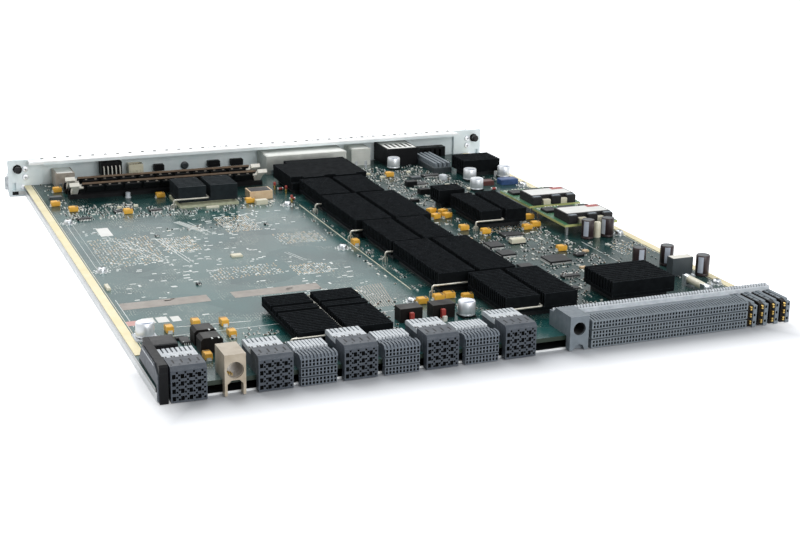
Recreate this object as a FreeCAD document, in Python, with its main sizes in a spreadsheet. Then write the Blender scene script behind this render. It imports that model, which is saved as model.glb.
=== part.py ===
import FreeCAD, Part
import math
import os
import re
import Sketcher

# Supervisor module of a network chassis, standing on its carrier tray: a large circuit board on
# standoffs, a front panel with ejector levers and captive screws, a row of finned heat sinks,
# two tilted memory modules and a rear edge of multi-row backplane connectors.
# Frame: +Z up, the front panel faces -Y, the origin is under the middle of the whole module.

DOC = FreeCAD.newDocument("SupervisorModule")
SHEET = DOC.addObject("Spreadsheet::Sheet", "Dims")
LAYOUT = DOC.addObject("App::VarSet", "Layout")

# Driving dimensions in millimetres, or degrees for tilt. Places along the board are measured from
# the panel, from the rear edge, or from the left (+X) and right (-X) edges, as their names say.
SIZES = {
    # carrier tray, board and the screws that hold it
    "tray_thick": 1.2, "tray_inset": 0.6, "standoff_height": 4.2, "standoff_radius": 2.8,
    "board_thick": 2.4, "seam": 0.3, "fit_gap": 0.05, "part_gap": 0.1,
    "board_screw_radius": 1.5, "board_screw_head_radius": 2.9, "board_screw_head": 1.6,
    "screw_row_start": 118, "screw_row_pitch": 115, "screw_left_edge": 12.5, "screw_mid_x": 13.7,
    "screw_right_edge": 7.5, "screw_right_front": 118, "screw_right_mid": 261,
    "screw_right_rear": 52,
    # front panel and its contact strip
    "panel_thick": 1.5, "panel_overlap": 10.5, "panel_height": 26.2, "top_flange_depth": 12.5,
    "bottom_flange_depth": 9, "gasket_thick": 0.8, "gasket_slit": 1, "gasket_slit_pitch": 9.4,
    "gasket_spine": 3,
    # end brackets, captive screws and ejector levers
    "bracket_width": 24, "bracket_thick": 3, "bracket_slot_width": 3, "bracket_slot_height": 6,
    "bracket_slot_edge": 3.5, "bracket_slot_low": 4.4,
    "captive_edge": 6.5, "captive_drop": 5.6, "captive_stud_radius": 2, "captive_stud_length": 3,
    "captive_neck_radius": 1.5, "captive_play": 0.2, "captive_head_radius": 4.2,
    "captive_head_length": 10, "captive_gap": 1, "captive_slot_width": 1.2,
    "captive_slot_depth": 1.8,
    "ferrule_wall": 1.6, "ferrule_proud": 0.8,
    "lever_pivot_edge": 3.6, "lever_pivot_reach": 8, "lever_pin_radius": 1.4, "lever_height": 9.4,
    "lever_low": 3.4, "lever_barrel_radius": 3.2, "lever_arm_length": 50, "lever_arm_thick": 4.6,
    "lever_tip_rise": 2.2, "lever_tip_length": 6.6, "lever_claw_reach": 5.2,
    "lever_claw_thick": 2.6,
    "lug_thick": 2, "lug_radius": 3.2,
    # sockets, cages and lamps behind the panel
    "console_left_edge": 28, "console_width": 14, "console_depth": 19, "console_height": 11,
    "ethernet_right_edge": 101, "ethernet_width": 16, "ethernet_depth": 18,
    "ethernet_height": 13.3,
    "plug_width": 11.8, "plug_height": 6.8, "plug_depth": 13, "plug_key_width": 6,
    "plug_key_height": 1.4, "plug_low": 1.6,
    "cage_mid_x": -32.3, "cage_width": 65.5, "cage_depth": 25, "cage_height": 14, "cage_wall": 1.2,
    "port_right_edge": 70, "port_width": 26, "port_depth": 29, "port_height": 14, "port_wall": 1.6,
    "lamp_left_edge": 64.2, "lamp_width": 15.6, "lamp_depth": 10, "lamp_height": 14.5,
    "lamp_foot_depth": 4, "lamp_foot_height": 5,
    "lamp_count": 5, "lamp_pitch": 3, "lamp_lens": 2, "lamp_lens_height": 10,
    "header_left_edge": 83, "header_width": 11, "header_depth": 8, "header_height": 11.4,
    "header_wall": 1.1, "header_well": 5,
    "comb_right_edge": 34.7, "comb_width": 22.6, "comb_depth": 8, "comb_height": 8,
    "comb_pitch": 4.4, "comb_lens_height": 4.6, "comb_slot": 1.6, "comb_slot_depth": 3,
    # memory modules, their tilted sockets and latches
    "module_left_edge": 96.3, "module_length": 128, "module_height": 17.8, "module_thick": 1.3,
    "module_tilt": 38, "module_notch": 1.8, "module_notch_low": 11.4, "module_notch_height": 3,
    "chip_count": 9, "chip_margin": 4, "chip_width": 11.2, "chip_height": 8.6, "chip_thick": 1,
    "chip_low": 6.4,
    "slot_front_y": 32, "slot_rear_y": 50, "slot_seat": 2.3, "slot_depth": 4.4, "slot_lip": 3,
    "slot_heel": 2.5, "socket_end": 7.6, "latch_offset": 4, "latch_foot_radius": 2.3,
    "latch_pivot_height": 3, "latch_thick": 3, "latch_top": 17, "latch_thumb": 2.4,
    "latch_gap": 0.3, "latch_hook_gap": 0.4, "latch_hook_base": 2, "latch_hook_tip": 1.2,
    # heat sinks, from the panel to the rear and then beside the row
    "sink_row_start": 38, "package_height": 3.4, "sink_height": 9.6, "sink_base": 2,
    "fin_pitch": 3.5, "fin_slot": 1.8, "fin_wall": 1.4, "channel_width": 3.4,
    "coarse_pitch": 3.7, "coarse_slot": 2,
    "package_inset": 3,
    "wide_x": -27.5, "wide_width": 59, "wide_depth": 55, "wide_step_width": 11,
    "wide_step_depth": 9, "wide_notch_width": 9, "wide_notch_depth": 3.4, "wide_notch_drop": 4,
    "row_one_x": -26, "row_one_width": 48, "row_one_depth": 46, "row_one_gap": 5,
    "row_two_x": -28.2, "row_two_width": 53.6, "row_two_depth": 68, "row_two_gap": 4,
    "row_three_x": -26.5, "row_three_width": 43, "row_three_depth": 49.5, "row_three_gap": 3,
    "row_four_x": -30.5, "row_four_width": 50, "row_four_depth": 70, "row_four_gap": 2.5,
    "row_five_x": -45, "row_five_width": 44.8, "row_five_depth": 50, "row_five_gap": 4,
    "rear_zone": 33,
    "front_right_edge": 24.7, "front_right_y": 69.5, "front_right_width": 30.5,
    "front_right_depth": 23,
    "small_right_edge": 86, "small_y": 153, "small_width": 20, "small_depth": 16,
    "split_right_edge": 75, "split_y": 197, "split_width": 34, "split_depth": 50,
    "coarse_right_edge": 67, "coarse_rear": 55.2, "coarse_width": 41.2, "coarse_depth": 33.5,
    "low_left_edge": 108.8, "low_rear": 62, "low_width": 53.5, "low_depth": 64, "low_height": 5.4,
    "low_package": 2.6, "low_groove_start": 16, "low_groove_pitch": 10, "low_groove": 3.2,
    "processor_left_edge": 114.2, "processor_y": 87.5, "processor_width": 42.5,
    "processor_depth": 27, "processor_height": 11.2, "substrate_thick": 1.9,
    "substrate_margin": 3.2, "lid_thick": 1.3,
    # spring clips and power parts
    "clip_wire_radius": 0.6, "clip_reach": 4, "clip_stand_off": 0.2,
    "converter_right_edge": 25.5, "converter_y": 179.5, "converter_pitch": 51.5,
    "converter_width": 40, "converter_depth": 47, "converter_rise": 6.2, "converter_thick": 1.6,
    "converter_pin": 1.6, "converter_pin_inset": 3.2,
    "core_width": 33, "core_depth": 18, "core_height": 6, "core_shift": 10, "core_leg": 5,
    "core_window": 3,
    "can_radius": 5, "can_height": 9, "can_base": 1.2,
    "can_one_edge": 80.5, "can_one_y": 36.5, "can_two_edge": 39, "can_two_y": 90,
    "can_three_edge": 47.3, "can_three_y": 120, "can_four_edge": 10, "can_four_y": 89.5,
    "can_left_edge": 11, "can_screw_gap": 9, "can_mid_x": -5.6, "can_mid_rear": 47.5,
    "radial_radius": 4.3, "radial_height": 13,
    "radial_one_edge": 33, "radial_one_rear": 165, "radial_two_edge": 18, "radial_two_rear": 165,
    "radial_three_edge": 35, "radial_three_rear": 96.5, "radial_four_edge": 16,
    "radial_four_rear": 95, "radial_five_edge": 6.5, "radial_five_rear": 69.5,
    "coil_left_edge": 38.2, "coil_rear": 41.8, "coil_pitch": 13.3, "coil_width": 11.8,
    "coil_depth": 9.6, "coil_height": 8.5, "coil_bevel": 1.5,
    "relay_mid_x": 8, "relay_pitch": 19.5, "relay_rear": 52, "relay_width": 13.2,
    "relay_depth": 8.5, "relay_height": 8,
    "film_right_edge": 19.3, "film_rear": 74.9, "film_width": 14.3, "film_depth": 6.8,
    "film_height": 11.5,
    "fuse_right_edge": 26, "fuse_rear": 45, "fuse_length": 25, "fuse_radius": 2.6,
    "fuse_cap_length": 6, "fuse_cap_wall": 0.3, "fuse_rise": 4, "fuse_clip_thick": 0.6,
    "fuse_clip_width": 4,
    # oscillator and plain chips
    "oscillator_left_edge": 154.5, "oscillator_y": 90.2, "oscillator_width": 17,
    "oscillator_depth": 12.5, "oscillator_height": 6,
    "logic_height": 2,
    "logic_one_edge": 77.5, "logic_one_y": 302.8, "logic_one_width": 15, "logic_one_depth": 13.5,
    "logic_two_edge": 101, "logic_two_y": 261.3, "logic_two_width": 10, "logic_two_depth": 11.5,
    "logic_three_edge": 102, "logic_three_y": 281, "logic_three_width": 10,
    "logic_three_depth": 10,
    # rear connectors and guides
    "connector_overhang": 4.5, "connector_foot": 0.4, "edge_gap": 0.2,
    "signal_width": 18, "signal_top": 11, "signal_depth": 30.5, "signal_slot": 2.9,
    "signal_slot_height": 15.8, "signal_pitch": 4.3, "signal_columns": 4, "signal_step": 14,
    "signal_step_drop": 0.8,
    "power_top": 8.5, "power_depth": 25.5, "contact_pitch": 1.9, "short_columns": 10,
    "long_columns": 52, "long_wall": 0.6, "bar_wall": 0.9, "bar_slot_height": 3.6,
    "bar_pitch": 5, "bar_count": 3, "cell_depth": 2.4, "power_step": 9.5,
    "power_step_drop": 0.8,
    "long_top": 7.8, "long_depth": 18.5, "rail_depth": 7, "rail_height": 9.4,
    "left_margin": 6.5, "pin_guide_gap": 8.7, "pin_guide_width": 10.8, "row_gap": 6.4,
    "connector_pitch": 22.5, "blade_count": 3, "plain_gap": 20.4, "socket_guide_width": 11.2, "long_gap": 2,
    "wafer_count": 4, "wafer_pitch": 7.5, "wafer_overhang": 5, "wafer_width": 5, "wafer_top": 6.3,
    "wafer_depth": 20, "wafer_cell_width": 2.4, "wafer_cell_height": 2.6, "wafer_cell_pitch": 4.2,
    "wafer_cells": 3,
    "guide_depth": 17.5, "pin_guide_top": 14, "pin_guide_bore": 4.35, "pin_guide_bore_rise": 5.65,
    "arch_half": 4.05, "arch_top": 0.5,
    "socket_guide_top": 11.6, "socket_guide_bore": 3.7, "socket_guide_bore_rise": 4.5,
    "recess_radius": 3.4,
    "corner_thick": 4.3, "corner_inset": 1, "corner_length": 45, "corner_height": 12.5,
    "corner_nose": 8, "corner_nose_drop": 4, "corner_slope": 9, "corner_box_width": 12.7,
    "corner_box_depth": 14.5, "corner_box_height": 11.5,
}

# Lengths worked out from the driving dimensions.
PLACES = {
    "board_low": "tray_thick + standoff_height",
    "board_top": "board_low + board_thick",
    "long_width": "long_columns*contact_pitch + 2*long_wall",
    "short_width": "short_columns*contact_pitch",
    "blade_run": "2*blade_count*connector_pitch",
    "board_half": "(left_margin + signal_width + pin_guide_gap + pin_guide_width + row_gap"
                  " + blade_run + signal_width + plain_gap + socket_guide_width + long_gap"
                  " + long_width + wafer_count*wafer_pitch - wafer_overhang)/2",
    "wide_end": "sink_row_start + wide_depth",
    "row_one_start": "wide_end + row_one_gap",
    "row_two_start": "row_one_start + row_one_depth + row_two_gap",
    "row_three_start": "row_two_start + row_two_depth + row_three_gap",
    "row_four_start": "row_three_start + row_three_depth + row_four_gap",
    "row_five_start": "row_four_start + row_four_depth + row_five_gap",
    "board_rear": "row_five_start + row_five_depth + rear_zone",
    "rear_reach": "board_rear + connector_overhang",
    "front_reach": "panel_thick + captive_gap + captive_head_length",
    "panel_y": "(front_reach - rear_reach)/2",
    "rear_y": "panel_y + board_rear",
    "face_y": "panel_y + rear_reach",
    "tray_front": "bracket_thick + seam",
    "tray_half": "board_half - tray_inset",
    "panel_half": "board_half + panel_overlap",
    "bracket_inner": "panel_half - bracket_width",
    "flange_half": "bracket_inner - seam",
    "captive_x": "panel_half - captive_edge",
    "captive_z": "panel_height - captive_drop",
    "ferrule_bore": "captive_neck_radius + captive_play",
    "ferrule_radius": "ferrule_bore + ferrule_wall",
    "stud_start": "bracket_thick + ferrule_proud + seam",
    "pivot_x": "panel_half - lever_pivot_edge",
    "pivot_y": "-lever_pivot_reach",
    "lever_top": "lever_low + lever_height",
    "left_edge": "board_half",
    "right_edge": "-board_half",
    "signal_left_x": "board_half - left_margin - signal_width/2",
    "pin_guide_x": "signal_left_x - signal_width/2 - pin_guide_gap - pin_guide_width/2",
    "signal_start_x": "pin_guide_x - pin_guide_width/2 - row_gap - signal_width/2",
    "socket_guide_x": "signal_start_x - blade_run - signal_width/2 - plain_gap"
                      " - socket_guide_width/2",
    "long_x": "socket_guide_x - socket_guide_width/2 - long_gap - long_width/2",
    "wafer_start_x": "long_x - long_width/2 - wafer_pitch/2",
    "screw_row_end": "panel_y + screw_row_start + 2*screw_row_pitch",
    "module_x": "left_edge - module_left_edge",
    "chip_pitch": "(module_length - 2*chip_margin - chip_width)/(chip_count - 1)",
    "latch_x": "module_length/2 + latch_offset",
    "processor_seat": "substrate_thick + lid_thick",
}

# Sides of a small round part that repeats, of a hexagonal post and of a hidden screw thread.
RING_SIDES = 8
POST_SIDES = 6
THREAD_SIDES = 4

NODES = []


def formula(text):
    """Gives each size word in a formula the name of the object that holds it."""
    def owner(match):
        word = match.group(0)
        if word in SIZES:
            return "Dims." + word
        if word in PLACES:
            return "Layout." + word
        return word
    return re.sub(r"[a-z]\w*", owner, text)


def write_sheet():
    """Fills the sheet with the driving dimensions and works out the layout from them."""
    for row, (alias, number) in enumerate(SIZES.items(), start=1):
        SHEET.set(f"A{row}", alias)
        SHEET.set(f"B{row}", str(number))
        SHEET.setAlias(f"B{row}", alias)
    DOC.recompute()
    for name in PLACES:
        LAYOUT.addProperty("App::PropertyFloat", name)
    for name, text in PLACES.items():
        LAYOUT.setExpression(name, formula(text))
    DOC.recompute()


def bind(item, path, text):
    """Ties one property of an object to a formula."""
    item.setExpression(path, formula(text))


def place(item, x="0", y="0", z="0"):
    """Puts an object at a point given by three formulas."""
    for axis, text in zip("xyz", (x, y, z)):
        bind(item, f"Placement.Base.{axis}", text)
    return item


def node(item, label):
    """Names a finished sub-part and adds it to the list that is written out."""
    item.Label = label
    NODES.append(item)
    return item


def new_body(name):
    """Starts a body that holds sketches and features."""
    return DOC.addObject("PartDesign::Body", name)


def origin_plane(body, plane):
    """Finds one of a body's own origin planes by its two axes."""
    return next(item for item in body.Origin.OriginFeatures if item.Role == plane + "_Plane")


def new_sketch(body, plane, level="0"):
    """Attaches a sketch to one of the body's own origin planes, lifted to a level."""
    sketch = body.newObject("Sketcher::SketchObject", body.Name + "_sketch")
    sketch.AttachmentSupport = [(origin_plane(body, plane), "")]
    sketch.MapMode = "FlatFace"
    bind(sketch, "AttachmentOffset.Base.z", level)
    return sketch


def pin_point(sketch, index, point, start, corner):
    """Ties a sketch point to a pair of formulas."""
    for kind, value, text in zip(("DistanceX", "DistanceY"), (start.x, start.y), corner):
        number = sketch.addConstraint(Sketcher.Constraint(kind, -1, 1, index, point, value))
        bind(sketch, f"Constraints[{number}]", text)


def add_outline(sketch, corners):
    """Draws a closed straight outline through corners given as pairs of formulas."""
    first = sketch.GeometryCount
    total = len(corners)
    turns = [2*math.pi*index/total for index in range(total)]
    ring = [FreeCAD.Vector(math.cos(turn), math.sin(turn), 0) for turn in turns]
    for index in range(total):
        sketch.addGeometry(Part.LineSegment(ring[index], ring[(index + 1) % total]), False)
    for index in range(total):
        after = first + (index + 1) % total
        sketch.addConstraint(Sketcher.Constraint("Coincident", first + index, 2, after, 1))
    for index, corner in enumerate(corners):
        pin_point(sketch, first + index, 1, ring[index], corner)
    return sketch


def add_rectangle(sketch, x, y, width, height):
    """Draws a rectangle from its lower middle point, a width and a height."""
    left = f"({x}) - ({width})/2"
    right = f"({x}) + ({width})/2"
    top = f"({y}) + ({height})"
    return add_outline(sketch, [(left, y), (right, y), (right, top), (left, top)])


def add_circle(sketch, x, y, radius):
    """Draws a circle."""
    centre = FreeCAD.Vector(0, 0, 0)
    index = sketch.addGeometry(Part.Circle(centre, FreeCAD.Vector(0, 0, 1), 1), False)
    number = sketch.addConstraint(Sketcher.Constraint("Radius", index, 1))
    bind(sketch, f"Constraints[{number}]", radius)
    pin_point(sketch, index, 3, centre, (x, y))
    return sketch


def add_ring(sketch, x, y, radius, sides=RING_SIDES):
    """Draws a small round outline as a regular polygon."""
    turns = [2*math.pi*side/sides for side in range(sides)]
    return add_outline(sketch, [
        (f"({x}) + ({radius})*({math.cos(turn):.6f})", f"({y}) + ({radius})*({math.sin(turn):.6f})")
        for turn in turns
    ])


def pad(body, sketch, length, reverse=False, symmetric=False):
    """Raises a sketch into a solid."""
    item = body.newObject("PartDesign::Pad", body.Name + "_pad")
    item.Profile = sketch
    bind(item, "Length", length)
    item.Reversed = reverse
    item.SideType = "Symmetric" if symmetric else "One side"
    return item


def cut(body, sketch, length=None, reverse=False, symmetric=False):
    """Cuts a sketch out of the body, right through where no length is given."""
    item = body.newObject("PartDesign::Pocket", body.Name + "_pocket")
    item.Profile = sketch
    if length is None:
        item.Type = "ThroughAll"
    else:
        bind(item, "Length", length)
    item.Reversed = reverse
    item.SideType = "Symmetric" if symmetric else "One side"
    return item


def repeat(body, feature, axis, count, step):
    """Repeats a feature along an axis of its sketch."""
    item = body.newObject("PartDesign::LinearPattern", body.Name + "_pattern")
    item.Originals = [feature]
    sketch = feature.Profile[0]
    item.Direction = (sketch, [axis])
    bind(item, "Occurrences", count)
    bind(item, "Length", f"({step})*(({count}) - 1)")
    body.Tip = item
    return item


def box(name, width, depth, height, x, y, z):
    """Makes a block standing at a level, centred on a point."""
    item = DOC.addObject("Part::Box", name)
    bind(item, "Length", width)
    bind(item, "Width", depth)
    bind(item, "Height", height)
    return place(item, f"({x}) - ({width})/2", f"({y}) - ({depth})/2", z)


def prism(name, sides, radius, height, x, y, z):
    """Makes an upright many-sided post standing at a level."""
    item = DOC.addObject("Part::Prism", name)
    item.Polygon = sides
    bind(item, "Circumradius", radius)
    bind(item, "Height", height)
    return place(item, x, y, z)


def join(name, items):
    """Fuses solids into one."""
    item = DOC.addObject("Part::MultiFuse", name)
    item.Shapes = items
    return item


def subtract(name, base, tool):
    """Cuts one solid out of another."""
    item = DOC.addObject("Part::Cut", name)
    item.Base = base
    item.Tool = tool
    return item


def group(label, items):
    """Gathers separate solids of one kind in one node."""
    item = DOC.addObject("Part::Compound", label)
    item.Links = items
    return node(item, label)


def screw_places():
    """Lists the board's fixing points as pairs of formulas."""
    rows = [f"panel_y + screw_row_start + {row}*screw_row_pitch" for row in range(3)]
    left = [("left_edge - screw_left_edge", row) for row in rows]
    middle = [("screw_mid_x", row) for row in rows]
    right_rows = ("panel_y + screw_right_front", "panel_y + screw_right_mid",
                  "rear_y - screw_right_rear")
    right = [("right_edge + screw_right_edge", row) for row in right_rows]
    return left + middle + right


def build_carrier():
    """Makes the folded tray, the hexagonal standoffs, the board and its screws."""
    tray = new_body("Tray")
    sketch = new_sketch(tray, "XZ")
    add_outline(sketch, [
        ("-tray_half", "0"), ("tray_half", "0"), ("tray_half", "board_low"),
        ("tray_half - tray_thick", "board_low"), ("tray_half - tray_thick", "tray_thick"),
        ("tray_thick - tray_half", "tray_thick"), ("tray_thick - tray_half", "board_low"),
        ("-tray_half", "board_low"),
    ])
    pad(tray, sketch, "board_rear - tray_front", reverse=True)
    node(place(tray, y="panel_y + tray_front"), "carrier_tray")

    board = new_body("Board")
    sketch = new_sketch(board, "XY")
    add_rectangle(sketch, "0", "panel_y + tray_front", "2*board_half", "board_rear - tray_front")
    for x, y in screw_places():
        add_ring(sketch, x, y, "board_screw_radius + part_gap", THREAD_SIDES)
    pad(board, sketch, "board_thick")
    node(place(board, z="board_low"), "circuit_board")

    posts = []
    screws = []
    for x, y in screw_places():
        post = prism("Post", POST_SIDES, "standoff_radius", "standoff_height", x, y, "tray_thick")
        bore = prism("PostBore", THREAD_SIDES, "board_screw_radius + part_gap", "standoff_height",
                     x, y, "tray_thick")
        posts.append(subtract("Standoff", post, bore))
        shank = prism("Shank", THREAD_SIDES, "board_screw_radius",
                      "board_thick + standoff_height/2", x, y, "board_low - standoff_height/2")
        head = prism("Head", RING_SIDES, "board_screw_head_radius", "board_screw_head", x, y,
                     "board_top")
        screws.append(join("BoardScrew", [shank, head]))
    group("standoffs", posts)
    group("board_screws", screws)


def panel_openings(sketch):
    """Draws the panel's cut-outs where the sockets, lamps, screws and levers come through."""
    sockets = (
        ("left_edge - console_left_edge", "plug_low", "plug_width", "plug_height"),
        ("right_edge + ethernet_right_edge", "plug_low", "plug_width", "plug_height"),
        ("cage_mid_x", "cage_wall", "cage_width - 2*cage_wall", "cage_height - 2*cage_wall"),
        ("right_edge + port_right_edge", "port_wall", "port_width - 2*port_wall",
         "port_height - 2*port_wall"),
    )
    for x, low, width, height in sockets:
        add_rectangle(sketch, x, f"board_top + {low}", width, height)
    lamps = (
        ("left_edge - lamp_left_edge", "lamp_pitch", "lamp_lens_height"),
        ("right_edge + comb_right_edge", "comb_pitch", "comb_lens_height"),
    )
    for x, pitch, height in lamps:
        add_rectangle(sketch, x, f"board_top + {height} - part_gap",
                      f"(lamp_count - 1)*{pitch} + lamp_lens + 2*part_gap", "lamp_lens + 2*part_gap")
    for side in ("1", "-1"):
        add_ring(sketch, f"{side}*captive_x", "captive_z", "ferrule_radius + part_gap")
        for low in ("lever_low - seam - lug_thick", "lever_top + seam"):
            add_rectangle(sketch, f"{side}*pivot_x", f"{low} - part_gap",
                          "2*(lug_radius + part_gap)", "lug_thick + 2*part_gap")


def build_panel():
    """Makes the flanged front panel and the slit contact strip along its top."""
    panel = new_body("Panel")
    sketch = new_sketch(panel, "XZ")
    add_rectangle(sketch, "0", "0", "2*panel_half", "panel_height")
    pad(panel, sketch, "panel_thick")
    flange = new_sketch(panel, "YZ")
    add_outline(flange, [
        ("-panel_thick", "panel_height - panel_thick"),
        ("top_flange_depth", "panel_height - panel_thick"),
        ("top_flange_depth", "panel_height"), ("-panel_thick", "panel_height"),
    ])
    pad(panel, flange, "2*flange_half", symmetric=True)
    foot = new_sketch(panel, "YZ")
    add_outline(foot, [
        ("-panel_thick", "tray_thick"), ("bottom_flange_depth", "tray_thick"),
        ("bottom_flange_depth", "tray_thick + panel_thick"),
        ("-panel_thick", "tray_thick + panel_thick"),
    ])
    pad(panel, foot, "2*flange_half", symmetric=True)
    openings = new_sketch(panel, "XZ")
    panel_openings(openings)
    cut(panel, openings, symmetric=True)
    node(place(panel, y="panel_y"), "front_panel")

    strip = new_body("Strip")
    sketch = new_sketch(strip, "XY")
    add_outline(sketch, [
        ("-flange_half", "-panel_thick"), ("flange_half", "-panel_thick"),
        ("flange_half", "top_flange_depth"), ("-flange_half", "top_flange_depth"),
    ])
    pad(strip, sketch, "gasket_thick")
    slit = new_sketch(strip, "XY")
    add_outline(slit, [
        ("gasket_slit_pitch - flange_half", "-panel_thick - gasket_spine"),
        ("gasket_slit_pitch + gasket_slit - flange_half", "-panel_thick - gasket_spine"),
        ("gasket_slit_pitch + gasket_slit - flange_half", "gasket_spine"),
        ("gasket_slit_pitch - flange_half", "gasket_spine"),
    ])
    feature = cut(strip, slit, symmetric=True)
    repeat(strip, feature, "H_Axis", "floor(2*flange_half/gasket_slit_pitch) - 1",
           "gasket_slit_pitch")
    node(place(strip, y="panel_y", z="panel_height"), "emi_gasket")


def build_bracket(side, label):
    """Makes one end bracket: a plate behind the panel with two lugs through it for the lever."""
    bracket = new_body("Bracket")
    plate = new_sketch(bracket, "XZ")
    add_rectangle(plate, f"{side}*(panel_half - bracket_width/2)", "0", "bracket_width",
                  "panel_height + gasket_thick")
    pad(bracket, plate, "bracket_thick", reverse=True)
    for low in ("lever_low - seam - lug_thick", "lever_top + seam"):
        arm = new_sketch(bracket, "XY", low)
        add_outline(arm, [
            (f"{side}*pivot_x - lug_radius", "bracket_thick/2"),
            (f"{side}*pivot_x - lug_radius", "pivot_y - lug_radius/2"),
            (f"{side}*pivot_x - lug_radius/2", "pivot_y - lug_radius"),
            (f"{side}*pivot_x + lug_radius/2", "pivot_y - lug_radius"),
            (f"{side}*pivot_x + lug_radius", "pivot_y - lug_radius/2"),
            (f"{side}*pivot_x + lug_radius", "bracket_thick/2"),
        ])
        pad(bracket, arm, "lug_thick")
    pin_hole = new_sketch(bracket, "XY")
    add_ring(pin_hole, f"{side}*pivot_x", "pivot_y", "lever_pin_radius + fit_gap")
    cut(bracket, pin_hole, symmetric=True)
    holes = new_sketch(bracket, "XZ")
    add_ring(holes, f"{side}*captive_x", "captive_z", "ferrule_radius + part_gap")
    add_rectangle(holes, f"{side}*(panel_half - bracket_slot_edge)", "bracket_slot_low",
                  "bracket_slot_width", "bracket_slot_height")
    cut(bracket, holes, "bracket_thick")
    node(place(bracket, y="panel_y"), label)


def build_captive_screw(side, label):
    """Makes one captive screw: a slotted thumb head, a thin neck and a threaded end behind it."""
    screw = new_body("CaptiveScrew")
    collar = "panel_thick + captive_gap"
    head = new_sketch(screw, "XZ", collar)
    add_ring(head, "0", "0", "captive_head_radius")
    pad(screw, head, "captive_head_length")
    neck = new_sketch(screw, "XZ", collar)
    add_ring(neck, "0", "0", "captive_neck_radius")
    pad(screw, neck, f"{collar} + stud_start", reverse=True)
    stud = new_sketch(screw, "XZ", "-stud_start")
    add_circle(stud, "0", "0", "captive_stud_radius")
    pad(screw, stud, "captive_stud_length", reverse=True)
    slot = new_sketch(screw, "XZ", "front_reach")
    add_rectangle(slot, "0", "-captive_slot_width/2", "2*(captive_head_radius + part_gap)",
                  "captive_slot_width")
    cut(screw, slot, "captive_slot_depth")
    node(place(screw, f"{side}*captive_x", "panel_y", "captive_z"), label)


def build_lever(side, label):
    """Makes one ejector lever: a barrel on the pin, a long thumb arm and a short claw."""
    lever = new_body("Lever")
    half = "lever_arm_thick/2"
    outline = new_sketch(lever, "XY")
    add_outline(outline, [
        (f"{side}*lever_claw_reach", "lever_claw_thick/2"),
        (f"{side}*lever_barrel_radius/2", "lever_barrel_radius"),
        (f"-{side}*lever_barrel_radius", half),
        (f"-{side}*(lever_arm_length - lever_tip_length)", half),
        (f"-{side}*lever_arm_length", f"{half} - lever_tip_rise"),
        (f"-{side}*lever_arm_length", f"-{half}"),
        (f"-{side}*lever_barrel_radius", f"-{half}"),
        (f"{side}*lever_barrel_radius/2", "-lever_barrel_radius"),
        (f"{side}*lever_claw_reach", "-lever_claw_thick/2"),
    ])
    pad(lever, outline, "lever_height")
    bore = new_sketch(lever, "XY")
    add_circle(bore, "0", "0", "lever_pin_radius + fit_gap")
    cut(lever, bore, symmetric=True)
    node(place(lever, f"{side}*pivot_x", "panel_y + pivot_y", "lever_low"), label)


def build_ends():
    """Makes the brackets, levers, pins, captive screws and ferrules."""
    pins = []
    ferrules = []
    for side, word in (("1", "left"), ("-1", "right")):
        build_bracket(side, f"end_bracket_{word}")
        build_captive_screw(side, f"captive_screw_{word}")
        build_lever(side, f"ejector_lever_{word}")
        pins.append(prism("LeverPin", RING_SIDES, "lever_pin_radius",
                          "lever_height + 2*(seam + lug_thick)", f"{side}*pivot_x",
                          "panel_y + pivot_y", "lever_low - seam - lug_thick"))
        ferrule = new_body("Ferrule")
        ring = new_sketch(ferrule, "XZ", "panel_thick")
        add_ring(ring, f"{side}*captive_x", "captive_z", "ferrule_radius")
        add_ring(ring, f"{side}*captive_x", "captive_z", "ferrule_bore")
        pad(ferrule, ring, "panel_thick + bracket_thick + ferrule_proud", reverse=True)
        ferrules.append(place(ferrule, y="panel_y"))
    group("lever_pins", pins)
    group("screw_ferrules", ferrules)


def build_plug_jack(label, x, width, depth, height):
    """Makes a shielded plug jack with a keyed mouth behind the panel."""
    jack = new_body("Jack")
    base = new_sketch(jack, "XZ")
    add_rectangle(base, "0", "0", width, height)
    pad(jack, base, depth, reverse=True)
    mouth = new_sketch(jack, "XZ")
    key_low = "plug_low + plug_height - plug_key_height"
    add_outline(mouth, [
        ("-plug_width/2", "plug_low"), ("plug_width/2", "plug_low"),
        ("plug_width/2", key_low), ("plug_key_width/2", key_low),
        ("plug_key_width/2", "plug_low + plug_height"),
        ("-plug_key_width/2", "plug_low + plug_height"),
        ("-plug_key_width/2", key_low), ("-plug_width/2", key_low),
    ])
    cut(jack, mouth, "plug_depth")
    node(place(jack, x, "panel_y", "board_top"), label)


def build_open_box(label, x, width, depth, height, wall):
    """Makes a sheet cage that is open at the panel."""
    cage = new_body("Cage")
    base = new_sketch(cage, "XZ")
    add_rectangle(base, "0", "0", width, height)
    pad(cage, base, depth, reverse=True)
    mouth = new_sketch(cage, "XZ")
    add_rectangle(mouth, "0", wall, f"{width} - 2*{wall}", f"{height} - 2*{wall}")
    cut(cage, mouth, f"{depth} - {wall}")
    node(place(cage, x, "panel_y", "board_top"), label)


def build_lamp_row(label, x, profile, width, pitch, height):
    """Makes a holder for a row of lamps whose square lenses reach through the panel."""
    holder = new_body("Lamps")
    base = new_sketch(holder, "YZ")
    add_outline(base, profile)
    pad(holder, base, width, symmetric=True)
    lens = new_sketch(holder, "XZ")
    add_rectangle(lens, f"-(lamp_count - 1)*{pitch}/2", height, "lamp_lens", "lamp_lens")
    feature = pad(holder, lens, "panel_thick")
    repeat(holder, feature, "H_Axis", "lamp_count", pitch)
    node(place(holder, x, "panel_y", "board_top"), label)
    return holder


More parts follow.
